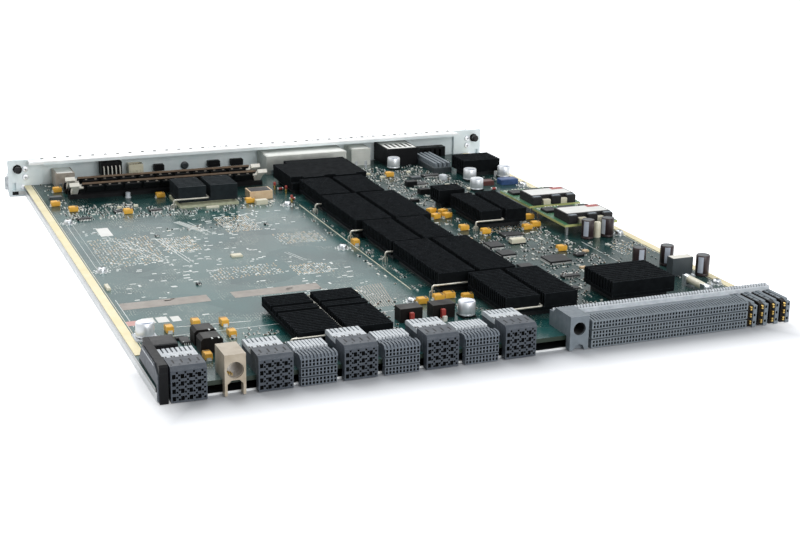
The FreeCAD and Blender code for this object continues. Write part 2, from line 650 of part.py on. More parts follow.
def build_front_sockets():
    """Makes the jacks, cages, lamp rows and header that stand behind the panel."""
    build_plug_jack("console_jack", "left_edge - console_left_edge", "console_width",
                    "console_depth", "console_height")
    build_plug_jack("ethernet_jack", "right_edge + ethernet_right_edge", "ethernet_width",
                    "ethernet_depth", "ethernet_height")
    build_open_box("card_cage", "cage_mid_x", "cage_width", "cage_depth", "cage_height",
                   "cage_wall")
    build_open_box("port_box", "right_edge + port_right_edge", "port_width", "port_depth",
                   "port_height", "port_wall")
    build_lamp_row("lamp_holder", "left_edge - lamp_left_edge", [
        ("0", "lamp_foot_height"), ("lamp_depth - lamp_foot_depth", "lamp_foot_height"),
        ("lamp_depth - lamp_foot_depth", "0"), ("lamp_depth", "0"),
        ("lamp_depth", "lamp_height"), ("0", "lamp_height"),
    ], "lamp_width", "lamp_pitch", "lamp_lens_height")
    comb = build_lamp_row("status_lamp_comb", "right_edge + comb_right_edge", [
        ("0", "0"), ("comb_depth", "0"), ("comb_depth", "comb_height"), ("0", "comb_height"),
    ], "comb_width", "comb_pitch", "comb_lens_height")
    gaps = new_sketch(comb, "XZ", "-comb_depth")
    add_rectangle(gaps, "-(lamp_count - 2)*comb_pitch/2", "0", "comb_slot",
                  "comb_height - comb_slot")
    feature = cut(comb, gaps, "comb_slot_depth", reverse=True)
    repeat(comb, feature, "H_Axis", "lamp_count - 1", "comb_pitch")

    header = new_body("Header")
    base = new_sketch(header, "XY")
    add_rectangle(base, "0", "0", "header_width", "header_depth")
    pad(header, base, "header_height")
    well = new_sketch(header, "XY", "header_height")
    add_rectangle(well, "0", "header_wall", "header_width - 2*header_wall",
                  "header_depth - 2*header_wall")
    cut(header, well, "header_well")
    node(place(header, "left_edge - header_left_edge", "panel_y + seam", "board_top"),
         "panel_header")


def along(rise, lift):
    """Gives the point that lies rise up the module's slope and lift off its middle plane."""
    tilt = "module_tilt*1deg"
    return (f"({rise})*cos({tilt}) - ({lift})*sin({tilt})",
            f"slot_seat + ({rise})*sin({tilt}) + ({lift})*cos({tilt})")


def slope_band(low, high, half):
    """Lists the corners of a band along the module's slope."""
    return [along(low, f"-({half})"), along(high, f"-({half})"), along(high, half),
            along(low, half)]


def tilt_up(item, x, y):
    """Stands a piece in a slot, leaning back at the module's tilt."""
    item.Placement = FreeCAD.Placement(
        FreeCAD.Vector(), FreeCAD.Rotation(FreeCAD.Vector(1, 0, 0), SIZES["module_tilt"]))
    bind(item, "Placement.Rotation.Angle", "module_tilt")
    return place(item, x, y, "board_top + slot_seat")


def build_memory(word, slot_y):
    """Makes one tilted socket with its module and the two end latches."""
    spot = f"panel_y + {slot_y}"
    socket = new_body("Socket")
    profile = new_sketch(socket, "YZ")
    heel = along("-slot_heel", "slot_lip")
    mouth_top = along("slot_depth", "slot_lip")
    mouth_low = along("slot_depth", "-slot_lip")
    add_outline(profile, [(heel[0], "0"), (mouth_low[0], "0"), mouth_low, mouth_top, heel])
    pad(socket, profile, "module_length + 2*socket_end", symmetric=True)
    slot = new_sketch(socket, "YZ")
    add_outline(slot, slope_band("0", "slot_depth + slot_lip", "module_thick/2 + part_gap"))
    cut(socket, slot, "module_length + 2*seam", symmetric=True)
    for level, reverse in (("module_length/2", True), ("-module_length/2", False)):
        bay = new_sketch(socket, "YZ", level)
        add_outline(bay, slope_band("0", "slot_depth + slot_lip", "latch_thick/2 + latch_gap"))
        cut(socket, bay, "2*socket_end", reverse=reverse)
    place(socket, "module_x", spot, "board_top")

    module = new_body("Module")
    card = new_sketch(module, "XY", "-module_thick/2")
    notch_top = "module_notch_low + module_notch_height"
    add_outline(card, [
        ("-module_length/2", "0"), ("module_length/2", "0"),
        ("module_length/2", "module_notch_low"),
        ("module_length/2 - module_notch", "module_notch_low"),
        ("module_length/2 - module_notch", notch_top), ("module_length/2", notch_top),
        ("module_length/2", "module_height"), ("-module_length/2", "module_height"),
        ("-module_length/2", notch_top), ("module_notch - module_length/2", notch_top),
        ("module_notch - module_length/2", "module_notch_low"),
        ("-module_length/2", "module_notch_low"),
    ])
    pad(module, card, "module_thick")
    chip = new_sketch(module, "XY", "-module_thick/2")
    add_rectangle(chip, "-chip_pitch*(chip_count - 1)/2", "chip_low", "chip_width", "chip_height")
    feature = pad(module, chip, "chip_thick", reverse=True)
    repeat(module, feature, "H_Axis", "chip_count", "chip_pitch")
    tilt_up(module, "module_x", spot)

    for side, end in (("1", "left"), ("-1", "right")):
        latch = new_body("Latch")
        plate = new_sketch(latch, "XY", "-latch_thick/2")
        hook = f"-{side}*(latch_offset + module_notch - latch_hook_gap)"
        inner = f"-{side}*latch_foot_radius"
        outer = f"{side}*latch_foot_radius"
        notch_mid = "module_notch_low + module_notch_height/2 - latch_pivot_height"
        top = "latch_top - latch_pivot_height"
        add_outline(plate, [
            (inner, "0"), (outer, "0"), (outer, notch_mid),
            (f"{side}*(latch_foot_radius + latch_thumb)", top), (inner, top),
            (inner, f"{notch_mid} + latch_hook_base/2"),
            (hook, f"{notch_mid} + latch_hook_tip/2"),
            (hook, f"{notch_mid} - latch_hook_tip/2"),
            (inner, f"{notch_mid} - latch_hook_base/2"),
        ])
        pad(latch, plate, "latch_thick")
        foot = new_sketch(latch, "XY", "-latch_thick/2")
        add_circle(foot, "0", "0", "latch_foot_radius")
        pad(latch, foot, "latch_thick")
        tilt = "module_tilt*1deg"
        tilt_up(latch, f"module_x + {side}*latch_x", f"{spot} + latch_pivot_height*cos({tilt})")
        bind(latch, "Placement.Base.z",
             f"board_top + slot_seat + latch_pivot_height*sin({tilt})")
        node(latch, f"memory_latch_{word}_{end}")
    return socket, module


def fin_slots(body, depth, height, pitch, slot, channel):
    """Cuts the cross slots between fins and, where asked, the lengthwise clip channel."""
    if channel:
        groove = new_sketch(body, "XZ")
        add_rectangle(groove, "0", "sink_base", "channel_width", height)
        cut(body, groove, symmetric=True)
    gap = new_sketch(body, "YZ")
    count = f"floor(({depth} - 2*fin_wall + {pitch} - {slot})/{pitch})"
    start = f"-(({count}) - 1)*{pitch}/2"
    add_rectangle(gap, start, "sink_base", slot, height)
    feature = cut(body, gap, symmetric=True)
    return repeat(body, feature, "H_Axis", count, pitch)


def build_sink(label, x, y, width, depth, seat="package_height", height="sink_height",
               pitch="fin_pitch", slot="fin_slot", channel=True):
    """Makes one finned heat sink standing on its package."""
    sink = new_body("Sink")
    foot = new_sketch(sink, "XY")
    add_rectangle(foot, "0", f"-{depth}/2", width, depth)
    pad(sink, foot, height)
    fin_slots(sink, depth, height, pitch, slot, channel)
    node(place(sink, x, y, f"board_top + {seat}"), label)
    return sink


def row_places():
    """Lists the sinks of the middle row as label word, x, middle y, width and depth."""
    words = ("one", "two", "three", "four", "five")
    return [(word, f"row_{word}_x", f"panel_y + row_{word}_start + row_{word}_depth/2",
             f"row_{word}_width", f"row_{word}_depth") for word in words]


def side_places():
    """Lists the finned sinks beside the row as label, x, middle y, width and depth."""
    return {
        "front": ("right_edge + front_right_edge", "panel_y + front_right_y",
                  "front_right_width", "front_right_depth"),
        "small": ("right_edge + small_right_edge", "panel_y + small_y", "small_width",
                  "small_depth"),
        "split": ("right_edge + split_right_edge", "panel_y + split_y", "split_width",
                  "split_depth"),
        "coarse": ("right_edge + coarse_right_edge", "rear_y - coarse_rear", "coarse_width",
                   "coarse_depth"),
        "low": ("left_edge - low_left_edge", "rear_y - low_rear", "low_width", "low_depth"),
        "processor": ("left_edge - processor_left_edge", "panel_y + processor_y",
                      "processor_width", "processor_depth"),
    }


def build_wide_sink():
    """Makes the wide plain sink by the card cage, stepped in front and notched behind."""
    wide = new_body("WideSink")
    outline = new_sketch(wide, "XY")
    add_outline(outline, [
        ("-wide_width/2", "0"), ("wide_width/2 - wide_step_width", "0"),
        ("wide_width/2 - wide_step_width", "wide_step_depth"),
        ("wide_width/2", "wide_step_depth"), ("wide_width/2", "wide_depth"),
        ("-wide_width/2", "wide_depth"),
    ])
    pad(wide, outline, "sink_height")
    notch = new_sketch(wide, "XY", "sink_height")
    spacing = "(wide_width - wide_notch_width)/2"
    add_rectangle(notch, f"-{spacing}", "wide_depth - wide_notch_depth", "wide_notch_width",
                  "2*wide_notch_depth")
    feature = cut(wide, notch, "wide_notch_drop")
    repeat(wide, feature, "H_Axis", "3", spacing)
    node(place(wide, "wide_x", "panel_y + sink_row_start", "board_top + package_height"),
         "wide_heat_sink")


def build_sinks():
    """Makes every heat sink and the packages under them."""
    build_wide_sink()
    for word, x, y, width, depth in row_places():
        build_sink(f"row_heat_sink_{word}", x, y, width, depth)
    sides = side_places()
    build_sink("front_heat_sink", *sides["front"], channel=False)
    build_sink("small_heat_sink", *sides["small"], channel=False)
    build_sink("split_heat_sink", *sides["split"])
    build_sink("coarse_heat_sink", *sides["coarse"], pitch="coarse_pitch", slot="coarse_slot",
               channel=False)
    low = build_sink("low_heat_sink", *sides["low"], seat="low_package", height="low_height")
    groove = new_sketch(low, "YZ")
    add_rectangle(groove, "low_groove_start - low_depth/2", "sink_base", "low_groove",
                  "low_height")
    feature = cut(low, groove, symmetric=True)
    repeat(low, feature, "H_Axis", "2", "low_groove_pitch")
    build_sink("processor_heat_sink", *sides["processor"], seat="processor_seat",
               height="processor_height")

    seats = [("wide_x", "panel_y + sink_row_start + wide_step_depth + (wide_depth"
              " - wide_step_depth)/2", "wide_width", "wide_depth - wide_step_depth",
              "package_height")]
    seats += [spot[1:] + ("package_height",) for spot in row_places()]
    seats += [sides[word] + ("package_height",) for word in ("front", "small", "split", "coarse")]
    seats.append(sides["low"] + ("low_package",))
    packages = [
        box("Package", f"{width} - 2*package_inset", f"{depth} - 2*package_inset", height, x, y,
            "board_top")
        for x, y, width, depth, height in seats
    ]
    packages += [
        box("Logic", f"logic_{word}_width", f"logic_{word}_depth", "logic_height",
            f"right_edge + logic_{word}_edge", f"panel_y + logic_{word}_y", "board_top")
        for word in ("one", "two", "three")
    ]
    group("chip_packages", packages)

    x, y, width, depth = sides["processor"]
    substrate = box("Substrate", f"{width} + 2*part_gap", f"{depth} + 2*substrate_margin",
                    "substrate_thick", x, y, "board_top")
    lid = box("Lid", f"{width} - 2*package_inset", f"{depth} - 2*package_inset", "lid_thick", x, y,
              "board_top + substrate_thick")
    node(join("Processor", [substrate, lid]), "processor_package")


def read(name):
    """Reads a driving or worked-out length as a plain number."""
    return float(getattr(SHEET if name in SIZES else LAYOUT, name))


def clip_shape(width, depth, seat, floor):
    """Bends one spring wire clip: down at one corner, through the channel, down at the other."""
    radius = read("clip_wire_radius")
    run = depth/2 + read("clip_stand_off") + radius
    reach = width/2 + read("clip_reach")
    level = seat + floor + radius + read("part_gap")
    spine = [
        FreeCAD.Vector(reach, run, 0), FreeCAD.Vector(reach, run, level),
        FreeCAD.Vector(0, run, level), FreeCAD.Vector(0, -run, level),
        FreeCAD.Vector(-reach, -run, level), FreeCAD.Vector(-reach, -run, 0),
    ]
    turns = [2*math.pi*side/3 for side in range(4)]
    ring = [spine[0] + FreeCAD.Vector(radius*math.cos(turn), radius*math.sin(turn), 0)
            for turn in turns]
    section = Part.makePolygon(ring)
    return Part.makePolygon(spine).makePipeShell([section], True, False, 1)


def build_clips():
    """Makes the spring wire clips that hold the channelled sinks down."""
    sides = side_places()
    held = [(x, y, width, depth, "package_height") for _, x, y, width, depth in row_places()]
    held.append(sides["split"] + ("package_height",))
    held.append(sides["low"] + ("low_package",))
    held.append(sides["processor"] + ("processor_seat",))
    clips = []
    for x, y, width, depth, seat in held:
        clip = DOC.addObject("Part::Feature", "Clip")
        clip.Shape = clip_shape(read(width), read(depth), read(seat), read("sink_base"))
        clips.append(place(clip, x, y, "board_top"))
    group("heat_sink_clips", clips)


def build_converters():
    """Makes the two raised power converters: board, planar core and corner pins."""
    pins = []
    cores = []
    boards = []
    x = "right_edge + converter_right_edge"
    for step in range(2):
        y = f"panel_y + converter_y + {step}*converter_pitch"
        boards.append(box("ConverterBoard", "converter_width", "converter_depth",
                          "converter_thick", x, y, "board_top + converter_rise"))
        core = new_body("Core")
        profile = new_sketch(core, "XZ")
        half = "core_width/2"
        window = f"{half} - core_leg"
        add_outline(profile, [
            (f"-{half}", "0"), (f"core_leg - {half}", "0"), (f"core_leg - {half}", "core_window"),
            (window, "core_window"), (window, "0"), (half, "0"), (half, "core_height"),
            (f"-{half}", "core_height"),
        ])
        pad(core, profile, "core_depth", symmetric=True)
        cores.append(place(core, x, f"{y} + core_shift",
                           "board_top + converter_rise + converter_thick"))
        for right in ("1", "-1"):
            for back in ("1", "-1"):
                pins.append(box(
                    "ConverterPin", "converter_pin", "converter_pin", "converter_rise",
                    f"{x} + {right}*(converter_width/2 - converter_pin_inset)",
                    f"{y} + {back}*(converter_depth/2 - converter_pin_inset)", "board_top"))
    group("converter_boards", boards)
    group("converter_cores", cores)
    group("converter_pins", pins)


def build_capacitors():
    """Makes the can, radial and film capacitors."""
    right_cans = [(f"right_edge + can_{word}_edge", f"panel_y + can_{word}_y")
                  for word in ("one", "two", "three", "four")]
    cans = right_cans + [("left_edge - can_left_edge", "screw_row_end + can_screw_gap"),
                         ("can_mid_x", "rear_y - can_mid_rear")]
    group("can_capacitors", [
        join("Can", [
            box("CanBase", "2*can_radius", "2*can_radius", "can_base", x, y, "board_top"),
            prism("CanBody", RING_SIDES, "can_radius - part_gap", "can_height", x, y, "board_top"),
        ]) for x, y in cans
    ])
    group("radial_capacitors", [
        prism("Radial", RING_SIDES, "radial_radius", "radial_height",
              f"right_edge + radial_{word}_edge", f"rear_y - radial_{word}_rear", "board_top")
        for word in ("one", "two", "three", "four", "five")
    ])
    node(box("Film", "film_width", "film_depth", "film_height", "right_edge + film_right_edge",
             "rear_y - film_rear", "board_top"), "film_capacitor")


def build_coil(step):
    """Makes one moulded coil with bevelled upper edges."""
    coil = new_body("Coil")
    profile = new_sketch(coil, "XZ")
    half = "coil_width/2"
    add_outline(profile, [
        (f"-{half}", "0"), (half, "0"), (half, "coil_height - coil_bevel"),
        (f"{half} - coil_bevel", "coil_height"), (f"coil_bevel - {half}", "coil_height"),
        (f"-{half}", "coil_height - coil_bevel"),
    ])
    pad(coil, profile, "coil_depth", symmetric=True)
    return place(coil, "left_edge - coil_left_edge", f"rear_y - coil_rear - {step}*coil_pitch",
                 "board_top")


def build_fuse():
    """Makes the tube fuse with its end caps and the two spring clips that hold it."""
    x = "right_edge + fuse_right_edge"
    fuse = new_body("Fuse")
    tube = new_sketch(fuse, "XZ")
    add_ring(tube, "0", "0", "fuse_radius - fuse_cap_wall")
    pad(fuse, tube, "fuse_length", symmetric=True)
    cap = new_sketch(fuse, "XZ", "fuse_length/2 - fuse_cap_length")
    add_ring(cap, "0", "0", "fuse_radius")
    feature = pad(fuse, cap, "fuse_cap_length")
    mirror = fuse.newObject("PartDesign::Mirrored", "Caps")
    mirror.Originals = [feature]
    mirror.MirrorPlane = (origin_plane(fuse, "XZ"), [""])
    fuse.Tip = mirror
    node(place(fuse, x, "rear_y - fuse_rear", "board_top + fuse_rise"), "fuse")

    clips = []
    inner = "fuse_radius + part_gap"
    outer = "fuse_radius + part_gap + fuse_clip_thick"
    floor = "fuse_rise - fuse_radius - part_gap"
    for side in ("1", "-1"):
        clip = new_body("FuseClip")
        profile = new_sketch(clip, "XZ")
        add_outline(profile, [
            (f"-({outer})", "0"), (outer, "0"), (outer, "fuse_rise + fuse_radius"),
            (inner, "fuse_rise + fuse_radius"), (inner, floor), (f"-({inner})", floor),
            (f"-({inner})", "fuse_rise + fuse_radius"),
            (f"-({outer})", "fuse_rise + fuse_radius"),
        ])
        pad(clip, profile, "fuse_clip_width", symmetric=True)
        clips.append(place(clip, x, f"rear_y - fuse_rear + {side}*(fuse_length"
                                    " - fuse_cap_length)/2", "board_top"))
    group("fuse_clips", clips)


def build_small_parts():
    """Makes the capacitors, coils, relays, fuse and oscillator."""
    build_capacitors()
    group("coils", [build_coil(step) for step in range(2)])
    group("relays", [
        box("Relay", "relay_width", "relay_depth", "relay_height",
            f"relay_mid_x + {step}*relay_pitch", "rear_y - relay_rear", "board_top")
        for step in range(2)
    ])
    build_fuse()
    node(box("OscillatorBox", "oscillator_width", "oscillator_depth", "oscillator_height",
             "left_edge - oscillator_left_edge", "panel_y + oscillator_y", "board_top"),
         "oscillator")


def edge_profile(depth, top, step, drop):
    """Lists a connector's side outline: over the board, down past its edge, stepped on top."""
    lip = "edge_gap - connector_overhang"
    return [
        ("0", "connector_foot"), ("0", f"board_top + {top}"),
        (f"-{step}", f"board_top + {top}"), (f"-{step}", f"board_top + {top} - {drop}"),
        (f"-{depth}", f"board_top + {top} - {drop}"), (f"-{depth}", "board_top"),
        (lip, "board_top"), (lip, "connector_foot"),
    ]


def connector_body(name, width, profile):
    """Starts a connector from its side outline and its width."""
    connector = new_body(name)
    side = new_sketch(connector, "YZ")
    add_outline(side, profile)
    pad(connector, side, width, symmetric=True)
    return connector


def cut_slots(connector, top, width, height, axis, count, pitch):
    """Sinks a row or a stack of equal contact slots into the middle of a connector's rear face."""
    slot = new_sketch(connector, "XZ")
    run = f"({count} - 1)*{pitch}/2"
    low = f"(connector_foot + board_top + {top} - {height})/2"
    if axis == "H_Axis":
        add_rectangle(slot, f"-{run}", low, width, height)
    else:
        add_rectangle(slot, "0", f"{low} - {run}", width, height)
    feature = cut(connector, slot, "cell_depth", reverse=True)
    repeat(connector, feature, axis, count, pitch)


def build_signal_connector(x):
    """Makes one signal connector with upright contact slots between its shields."""
    connector = connector_body("Signal", "signal_width", edge_profile(
        "signal_depth", "signal_top", "signal_step", "signal_step_drop"))
    cut_slots(connector, "signal_top", "signal_slot", "signal_slot_height", "H_Axis",
              "signal_columns", "signal_pitch")
    return place(connector, x, "face_y")


def build_blade_connector(x):
    """Makes one low connector with a stack of contact bars."""
    connector = connector_body("Blade", "short_width", edge_profile(
        "power_depth", "power_top", "power_step", "power_step_drop"))
    cut_slots(connector, "power_top", "(short_width - 2*bar_wall)", "bar_slot_height", "V_Axis",
              "bar_count", "bar_pitch")
    return place(connector, x, "face_y")


def build_wafer(step):
    """Makes one upright contact wafer at the end of the long connector."""
    lip = "edge_gap - connector_overhang"
    wafer = connector_body("Wafer", "wafer_width", [
        ("0", "connector_foot"), ("0", "board_top + wafer_top"),
        ("-wafer_depth", "board_top + wafer_top"), ("-wafer_depth", "board_top"),
        (lip, "board_top"), (lip, "connector_foot"),
    ])
    cut_slots(wafer, "wafer_top", "wafer_cell_width", "wafer_cell_height", "V_Axis", "wafer_cells",
              "wafer_cell_pitch")
    return place(wafer, f"wafer_start_x - {step}*wafer_pitch", "face_y")


def build_guides():
    """Makes the two bored guide blocks and the corner guide."""
    lip = "edge_gap - connector_overhang"

    def block(name, width, top):
        return connector_body(name, width, [
            ("0", "connector_foot"), ("0", f"board_top + {top}"),
            ("-guide_depth", f"board_top + {top}"), ("-guide_depth", "board_top"),
            (lip, "board_top"), (lip, "connector_foot"),
        ])

    pin_guide = block("PinGuide", "pin_guide_width", "pin_guide_top")
    bore = new_sketch(pin_guide, "XZ")
    add_circle(bore, "0", "board_top + pin_guide_bore_rise", "pin_guide_bore")
    cut(pin_guide, bore, symmetric=True)
    arch = new_sketch(pin_guide, "XZ")
    crown = "board_top + arch_top"
    add_outline(arch, [
        ("-arch_half", "-connector_foot"), ("arch_half", "-connector_foot"),
        ("arch_half", f"{crown} - arch_half/2"), ("arch_half/2", crown), ("-arch_half/2", crown),
        ("-arch_half", f"{crown} - arch_half/2"),
    ])
    cut(pin_guide, arch, "connector_overhang - edge_gap", reverse=True)
    node(place(pin_guide, "pin_guide_x", "face_y"), "pin_guide_block")

    socket_guide = block("SocketGuide", "socket_guide_width", "socket_guide_top")
    bore = new_sketch(socket_guide, "XZ")
    add_circle(bore, "0", "board_top + socket_guide_bore_rise", "socket_guide_bore")
    cut(socket_guide, bore, symmetric=True)
    recess = new_sketch(socket_guide, "XZ")
    add_ring(recess, "0", "connector_foot", "recess_radius")
    cut(socket_guide, recess, "cell_depth", reverse=True)
    node(place(socket_guide, "socket_guide_x", "face_y"), "socket_guide_block")

    crest = "board_top + corner_height"
    corner = connector_body("Corner", "corner_thick", [
        ("0", "connector_foot"), ("0", f"{crest} - corner_nose_drop"), ("-corner_nose", crest),
        ("corner_slope - corner_length", crest), ("-corner_length", "board_top"),
        (lip, "board_top"), (lip, "connector_foot"),
    ])
    foot = new_sketch(corner, "XY", "board_top")
    back = "signal_depth + seam"
    add_outline(foot, [
        ("0", f"-({back})"), ("0", f"-({back}) - corner_box_depth"),
        ("-corner_box_width - corner_thick/2", f"-({back}) - corner_box_depth"),
        ("-corner_box_width - corner_thick/2", f"-({back})"),
    ])
    pad(corner, foot, "corner_box_height")
    node(place(corner, "left_edge - corner_inset - corner_thick/2", "face_y"), "corner_guide")


def build_rear_connectors():
    """Makes the row of backplane connectors along the rear edge."""
    blades = SIZES["blade_count"]
    starts = ["signal_left_x"] + [f"signal_start_x - {2*step}*connector_pitch"
                                  for step in range(blades + 1)]
    group("signal_connectors", [build_signal_connector(x) for x in starts])
    group("blade_connectors", [
        build_blade_connector(f"signal_start_x - {2*step + 1}*connector_pitch")
        for step in range(blades)
    ])
    lip = "edge_gap - connector_overhang"
    long_body = connector_body("Long", "long_width", [
        ("0", "connector_foot"), ("0", "board_top + long_top"),
        ("rail_depth - long_depth", "board_top + long_top"),
        ("rail_depth - long_depth", "board_top + rail_height"),
        ("-long_depth", "board_top + rail_height"), ("-long_depth", "board_top"),
        (lip, "board_top"), (lip, "connector_foot"),
    ])
    cut_slots(long_body, "long_top", "(long_width - 2*bar_wall)", "bar_slot_height", "V_Axis",
              "bar_count", "bar_pitch")
    node(place(long_body, "long_x", "face_y"), "long_connector")
    group("contact_wafers", [build_wafer(step) for step in range(SIZES["wafer_count"])])
    build_guides()


def check_document():
    """Stops if any object failed or any sub-part has no sound solid."""
    for item in DOC.Objects:
        if "Invalid" in item.State or "Error" in item.State:
            raise RuntimeError(f"{item.Label} did not build: {item.State}")
    for item in NODES:
        shape = item.Shape
        if shape.isNull() or not shape.isValid() or not shape.Solids:
            raise RuntimeError(f"{item.Label} has no valid solid")


def main():
    """Builds the module and writes one file for each sub-part."""
    write_sheet()
    build_carrier()
    build_panel()
    build_ends()
    build_front_sockets()
    slots = [build_memory("front", "slot_front_y"), build_memory("rear", "slot_rear_y")]
    group("memory_sockets", [socket for socket, _ in slots])
    group("memory_modules", [module for _, module in slots])
    build_sinks()
    build_clips()
    build_converters()
    build_small_parts()
    build_rear_connectors()
    DOC.recompute()
    check_document()
    os.makedirs("parts", exist_ok=True)
    for item in NODES:
        item.Shape.exportStep(os.path.join("parts", item.Label + ".step"))
    print(len(NODES), "sub-parts written")


main()
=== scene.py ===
"""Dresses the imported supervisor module: finishes, connector detail, board print, small parts and studio."""

import logging
import math
from dataclasses import dataclass, replace
from enum import Enum
from functools import cache
from typing import Any, Optional, Sequence

import bpy
import numpy as np
from mathutils import Matrix, Vector


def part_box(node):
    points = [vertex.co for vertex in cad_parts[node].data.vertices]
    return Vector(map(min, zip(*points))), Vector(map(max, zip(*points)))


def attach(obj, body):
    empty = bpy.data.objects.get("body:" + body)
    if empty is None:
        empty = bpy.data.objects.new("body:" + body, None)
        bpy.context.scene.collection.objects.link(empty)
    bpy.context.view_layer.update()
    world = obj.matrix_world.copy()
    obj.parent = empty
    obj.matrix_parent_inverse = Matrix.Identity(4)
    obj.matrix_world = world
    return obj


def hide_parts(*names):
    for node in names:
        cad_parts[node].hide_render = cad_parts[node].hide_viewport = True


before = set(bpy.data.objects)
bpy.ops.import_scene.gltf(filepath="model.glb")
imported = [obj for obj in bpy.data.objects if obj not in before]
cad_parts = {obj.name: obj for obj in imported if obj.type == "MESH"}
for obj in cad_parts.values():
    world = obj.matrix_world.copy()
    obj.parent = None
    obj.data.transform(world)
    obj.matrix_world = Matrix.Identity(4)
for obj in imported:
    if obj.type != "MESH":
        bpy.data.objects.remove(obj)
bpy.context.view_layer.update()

LOG = logging.getLogger("module")
Array = np.ndarray
Colour = tuple[float, float, float, float]
Rows = tuple[tuple[float, ...], ...]
Node, Socket, Tree = bpy.types.Node, bpy.types.NodeSocket, bpy.types.NodeTree
MM = 0.001  # a millimetre in metres
PANEL_Y = -210.0  # inner face of the front panel
REAR_Y = 218.0  # rear edge of the tray
FACE_Y = 222.5  # faces of the rear connectors
BOARD_TOP = 7.8  # upper face of the board
INK = 0.05  # height of print and of shallow dark marks
PAINT = 0.06  # height of painted marks and slots


def colour(code: str) -> Colour:
    """Turns six hexadecimal digits of a display colour into linear values and a full alpha."""
    parts = np.array([int(code[i:i + 2], 16) for i in (0, 2, 4)])/255
    return (*np.where(parts <= 0.04045, parts/12.92, ((parts + 0.055)/1.055)**2.4).tolist(), 1.0)


@dataclass
class Shape:
    """A surface in millimetres: its points, and its faces as one index array for each corner count."""

    points: Array
    faces: dict[int, Array]

    @classmethod
    def join(cls, shapes: Sequence["Shape"]) -> "Shape":
        """Puts several surfaces into one, each with its indices moved past those before it.

        Args:
            shapes: The surfaces.

        Returns:
            One surface with all their points and faces.
        """
        starts = np.cumsum([0] + [len(item.points) for item in shapes])
        sizes = sorted({size for item in shapes for size in item.faces})
        faces = {size: np.concatenate([item.faces[size] + start for item, start in zip(shapes, starts)
                                       if size in item.faces]) for size in sizes}
        return cls(np.concatenate([item.points for item in shapes]), faces)

    def at(self, x: float = 0, y: float = 0, z: float = 0) -> "Shape":
        """Gives the surface moved by an offset."""
        return Shape(self.points + (x, y, z), self.faces)

    def copies(self, spots: Any, sizes: Any = 1.0, turns: Any = 0.0) -> "Shape":
        """Repeats the surface: each copy is stretched, turned about Z and moved.

        Args:
            spots: Offsets, three numbers a row.
            sizes: Factors along X, Y and Z, for all copies or a row for each.
            turns: Angles about Z in radians, for all copies or one for each.

        Returns:
            One surface that holds every copy.
        """
        spots = np.asarray(spots, float).reshape(-1, 3)
        grown = self.points[None]*np.broadcast_to(np.asarray(sizes, float), (len(spots), 3))[:, None]
        angle = np.broadcast_to(np.asarray(turns, float), (len(spots),))[:, None]
        x = grown[..., 0]*np.cos(angle) - grown[..., 1]*np.sin(angle)
        y = grown[..., 0]*np.sin(angle) + grown[..., 1]*np.cos(angle)
        points = (spots[:, None] + np.stack([x, y, grown[..., 2]], axis=-1)).reshape(-1, 3)
        shift = len(self.points)*np.arange(len(spots))
        return Shape(points, {size: (rows[None] + shift[:, None, None]).reshape(-1, size)
                              for size, rows in self.faces.items()})

    def row(self, count: int, pitch: float, x: float = 0, y: float = 0, z: float = 0) -> "Shape":
        """Repeats the surface in an even row along X about a middle."""
        return self.copies(places(spread(count, pitch, x), y, z))

    def spun(self, degrees: float, axis: str = "Z") -> "Shape":
        """Gives the surface turned by degrees about a frame axis through the origin."""
        turn = np.array(Matrix.Rotation(math.radians(degrees), 3, axis))
        return Shape(self.points @ turn.T, self.faces)

    def tidy(self) -> "Shape":
        """Drops the points that no face uses.

        Returns:
            The same surface on the points that are left.
        """
        used = np.unique(np.concatenate([rows.ravel() for rows in self.faces.values()]))
        place = np.zeros(len(self.points), int)
        place[used] = np.arange(len(used))
        return Shape(self.points[used], {size: place[rows] for size, rows in self.faces.items()})


def loft(stack: Array) -> Shape:
    """Skins a stack of closed rings: a quad spans each side between rings, one face closes each end.

    Args:
        stack: Rings by points by coordinates, counter-clockwise seen from where the stack goes.

    Returns:
        The closed surface.
    """
    levels, count = stack.shape[:2]
    index = np.arange(levels*count).reshape(levels, count)
    after = np.roll(index, -1, axis=1)
    sides = np.stack([index[:-1], after[:-1], after[1:], index[1:]], axis=-1).reshape(-1, 4)
    caps = np.stack([index[0, ::-1], index[-1]])
    faces = {4: np.concatenate([sides, caps])} if count == 4 else {4: sides, count: caps}
    return Shape(stack.reshape(-1, 3), faces)


def block(width: float, depth: float, height: float, chamfer: float = 0.0) -> Shape:
    """A box that stands on the origin: square rings at foot and shoulder, and one drawn in at the top.

    Args:
        width: Size along X.
        depth: Size along Y.
        height: Size along Z.
        chamfer: How far the top edges are cut.

    Returns:
        The closed surface.
    """
    levels = [(0, 0), (height - chamfer, 0), (height, chamfer)] if chamfer else [(0, 0), (height, 0)]
    rise, inset = np.array(levels, float).T
    corners = np.array([(-1, -1), (1, -1), (1, 1), (-1, 1)])/2
    flat = corners*(np.array([width, depth]) - 2*inset[:, None])[:, None]
    return loft(np.concatenate([flat, np.broadcast_to(rise[:, None, None], (len(rise), 4, 1))], axis=2))


def boxes(rows: Any, chamfer: float = 0.0, z: float = BOARD_TOP) -> list[Shape]:
    """Gives boxes that stand on one level, from rows of X, Y, width, depth and height."""
    return [block(width, depth, height, chamfer).at(x, y, z) for x, y, width, depth, height in rows]


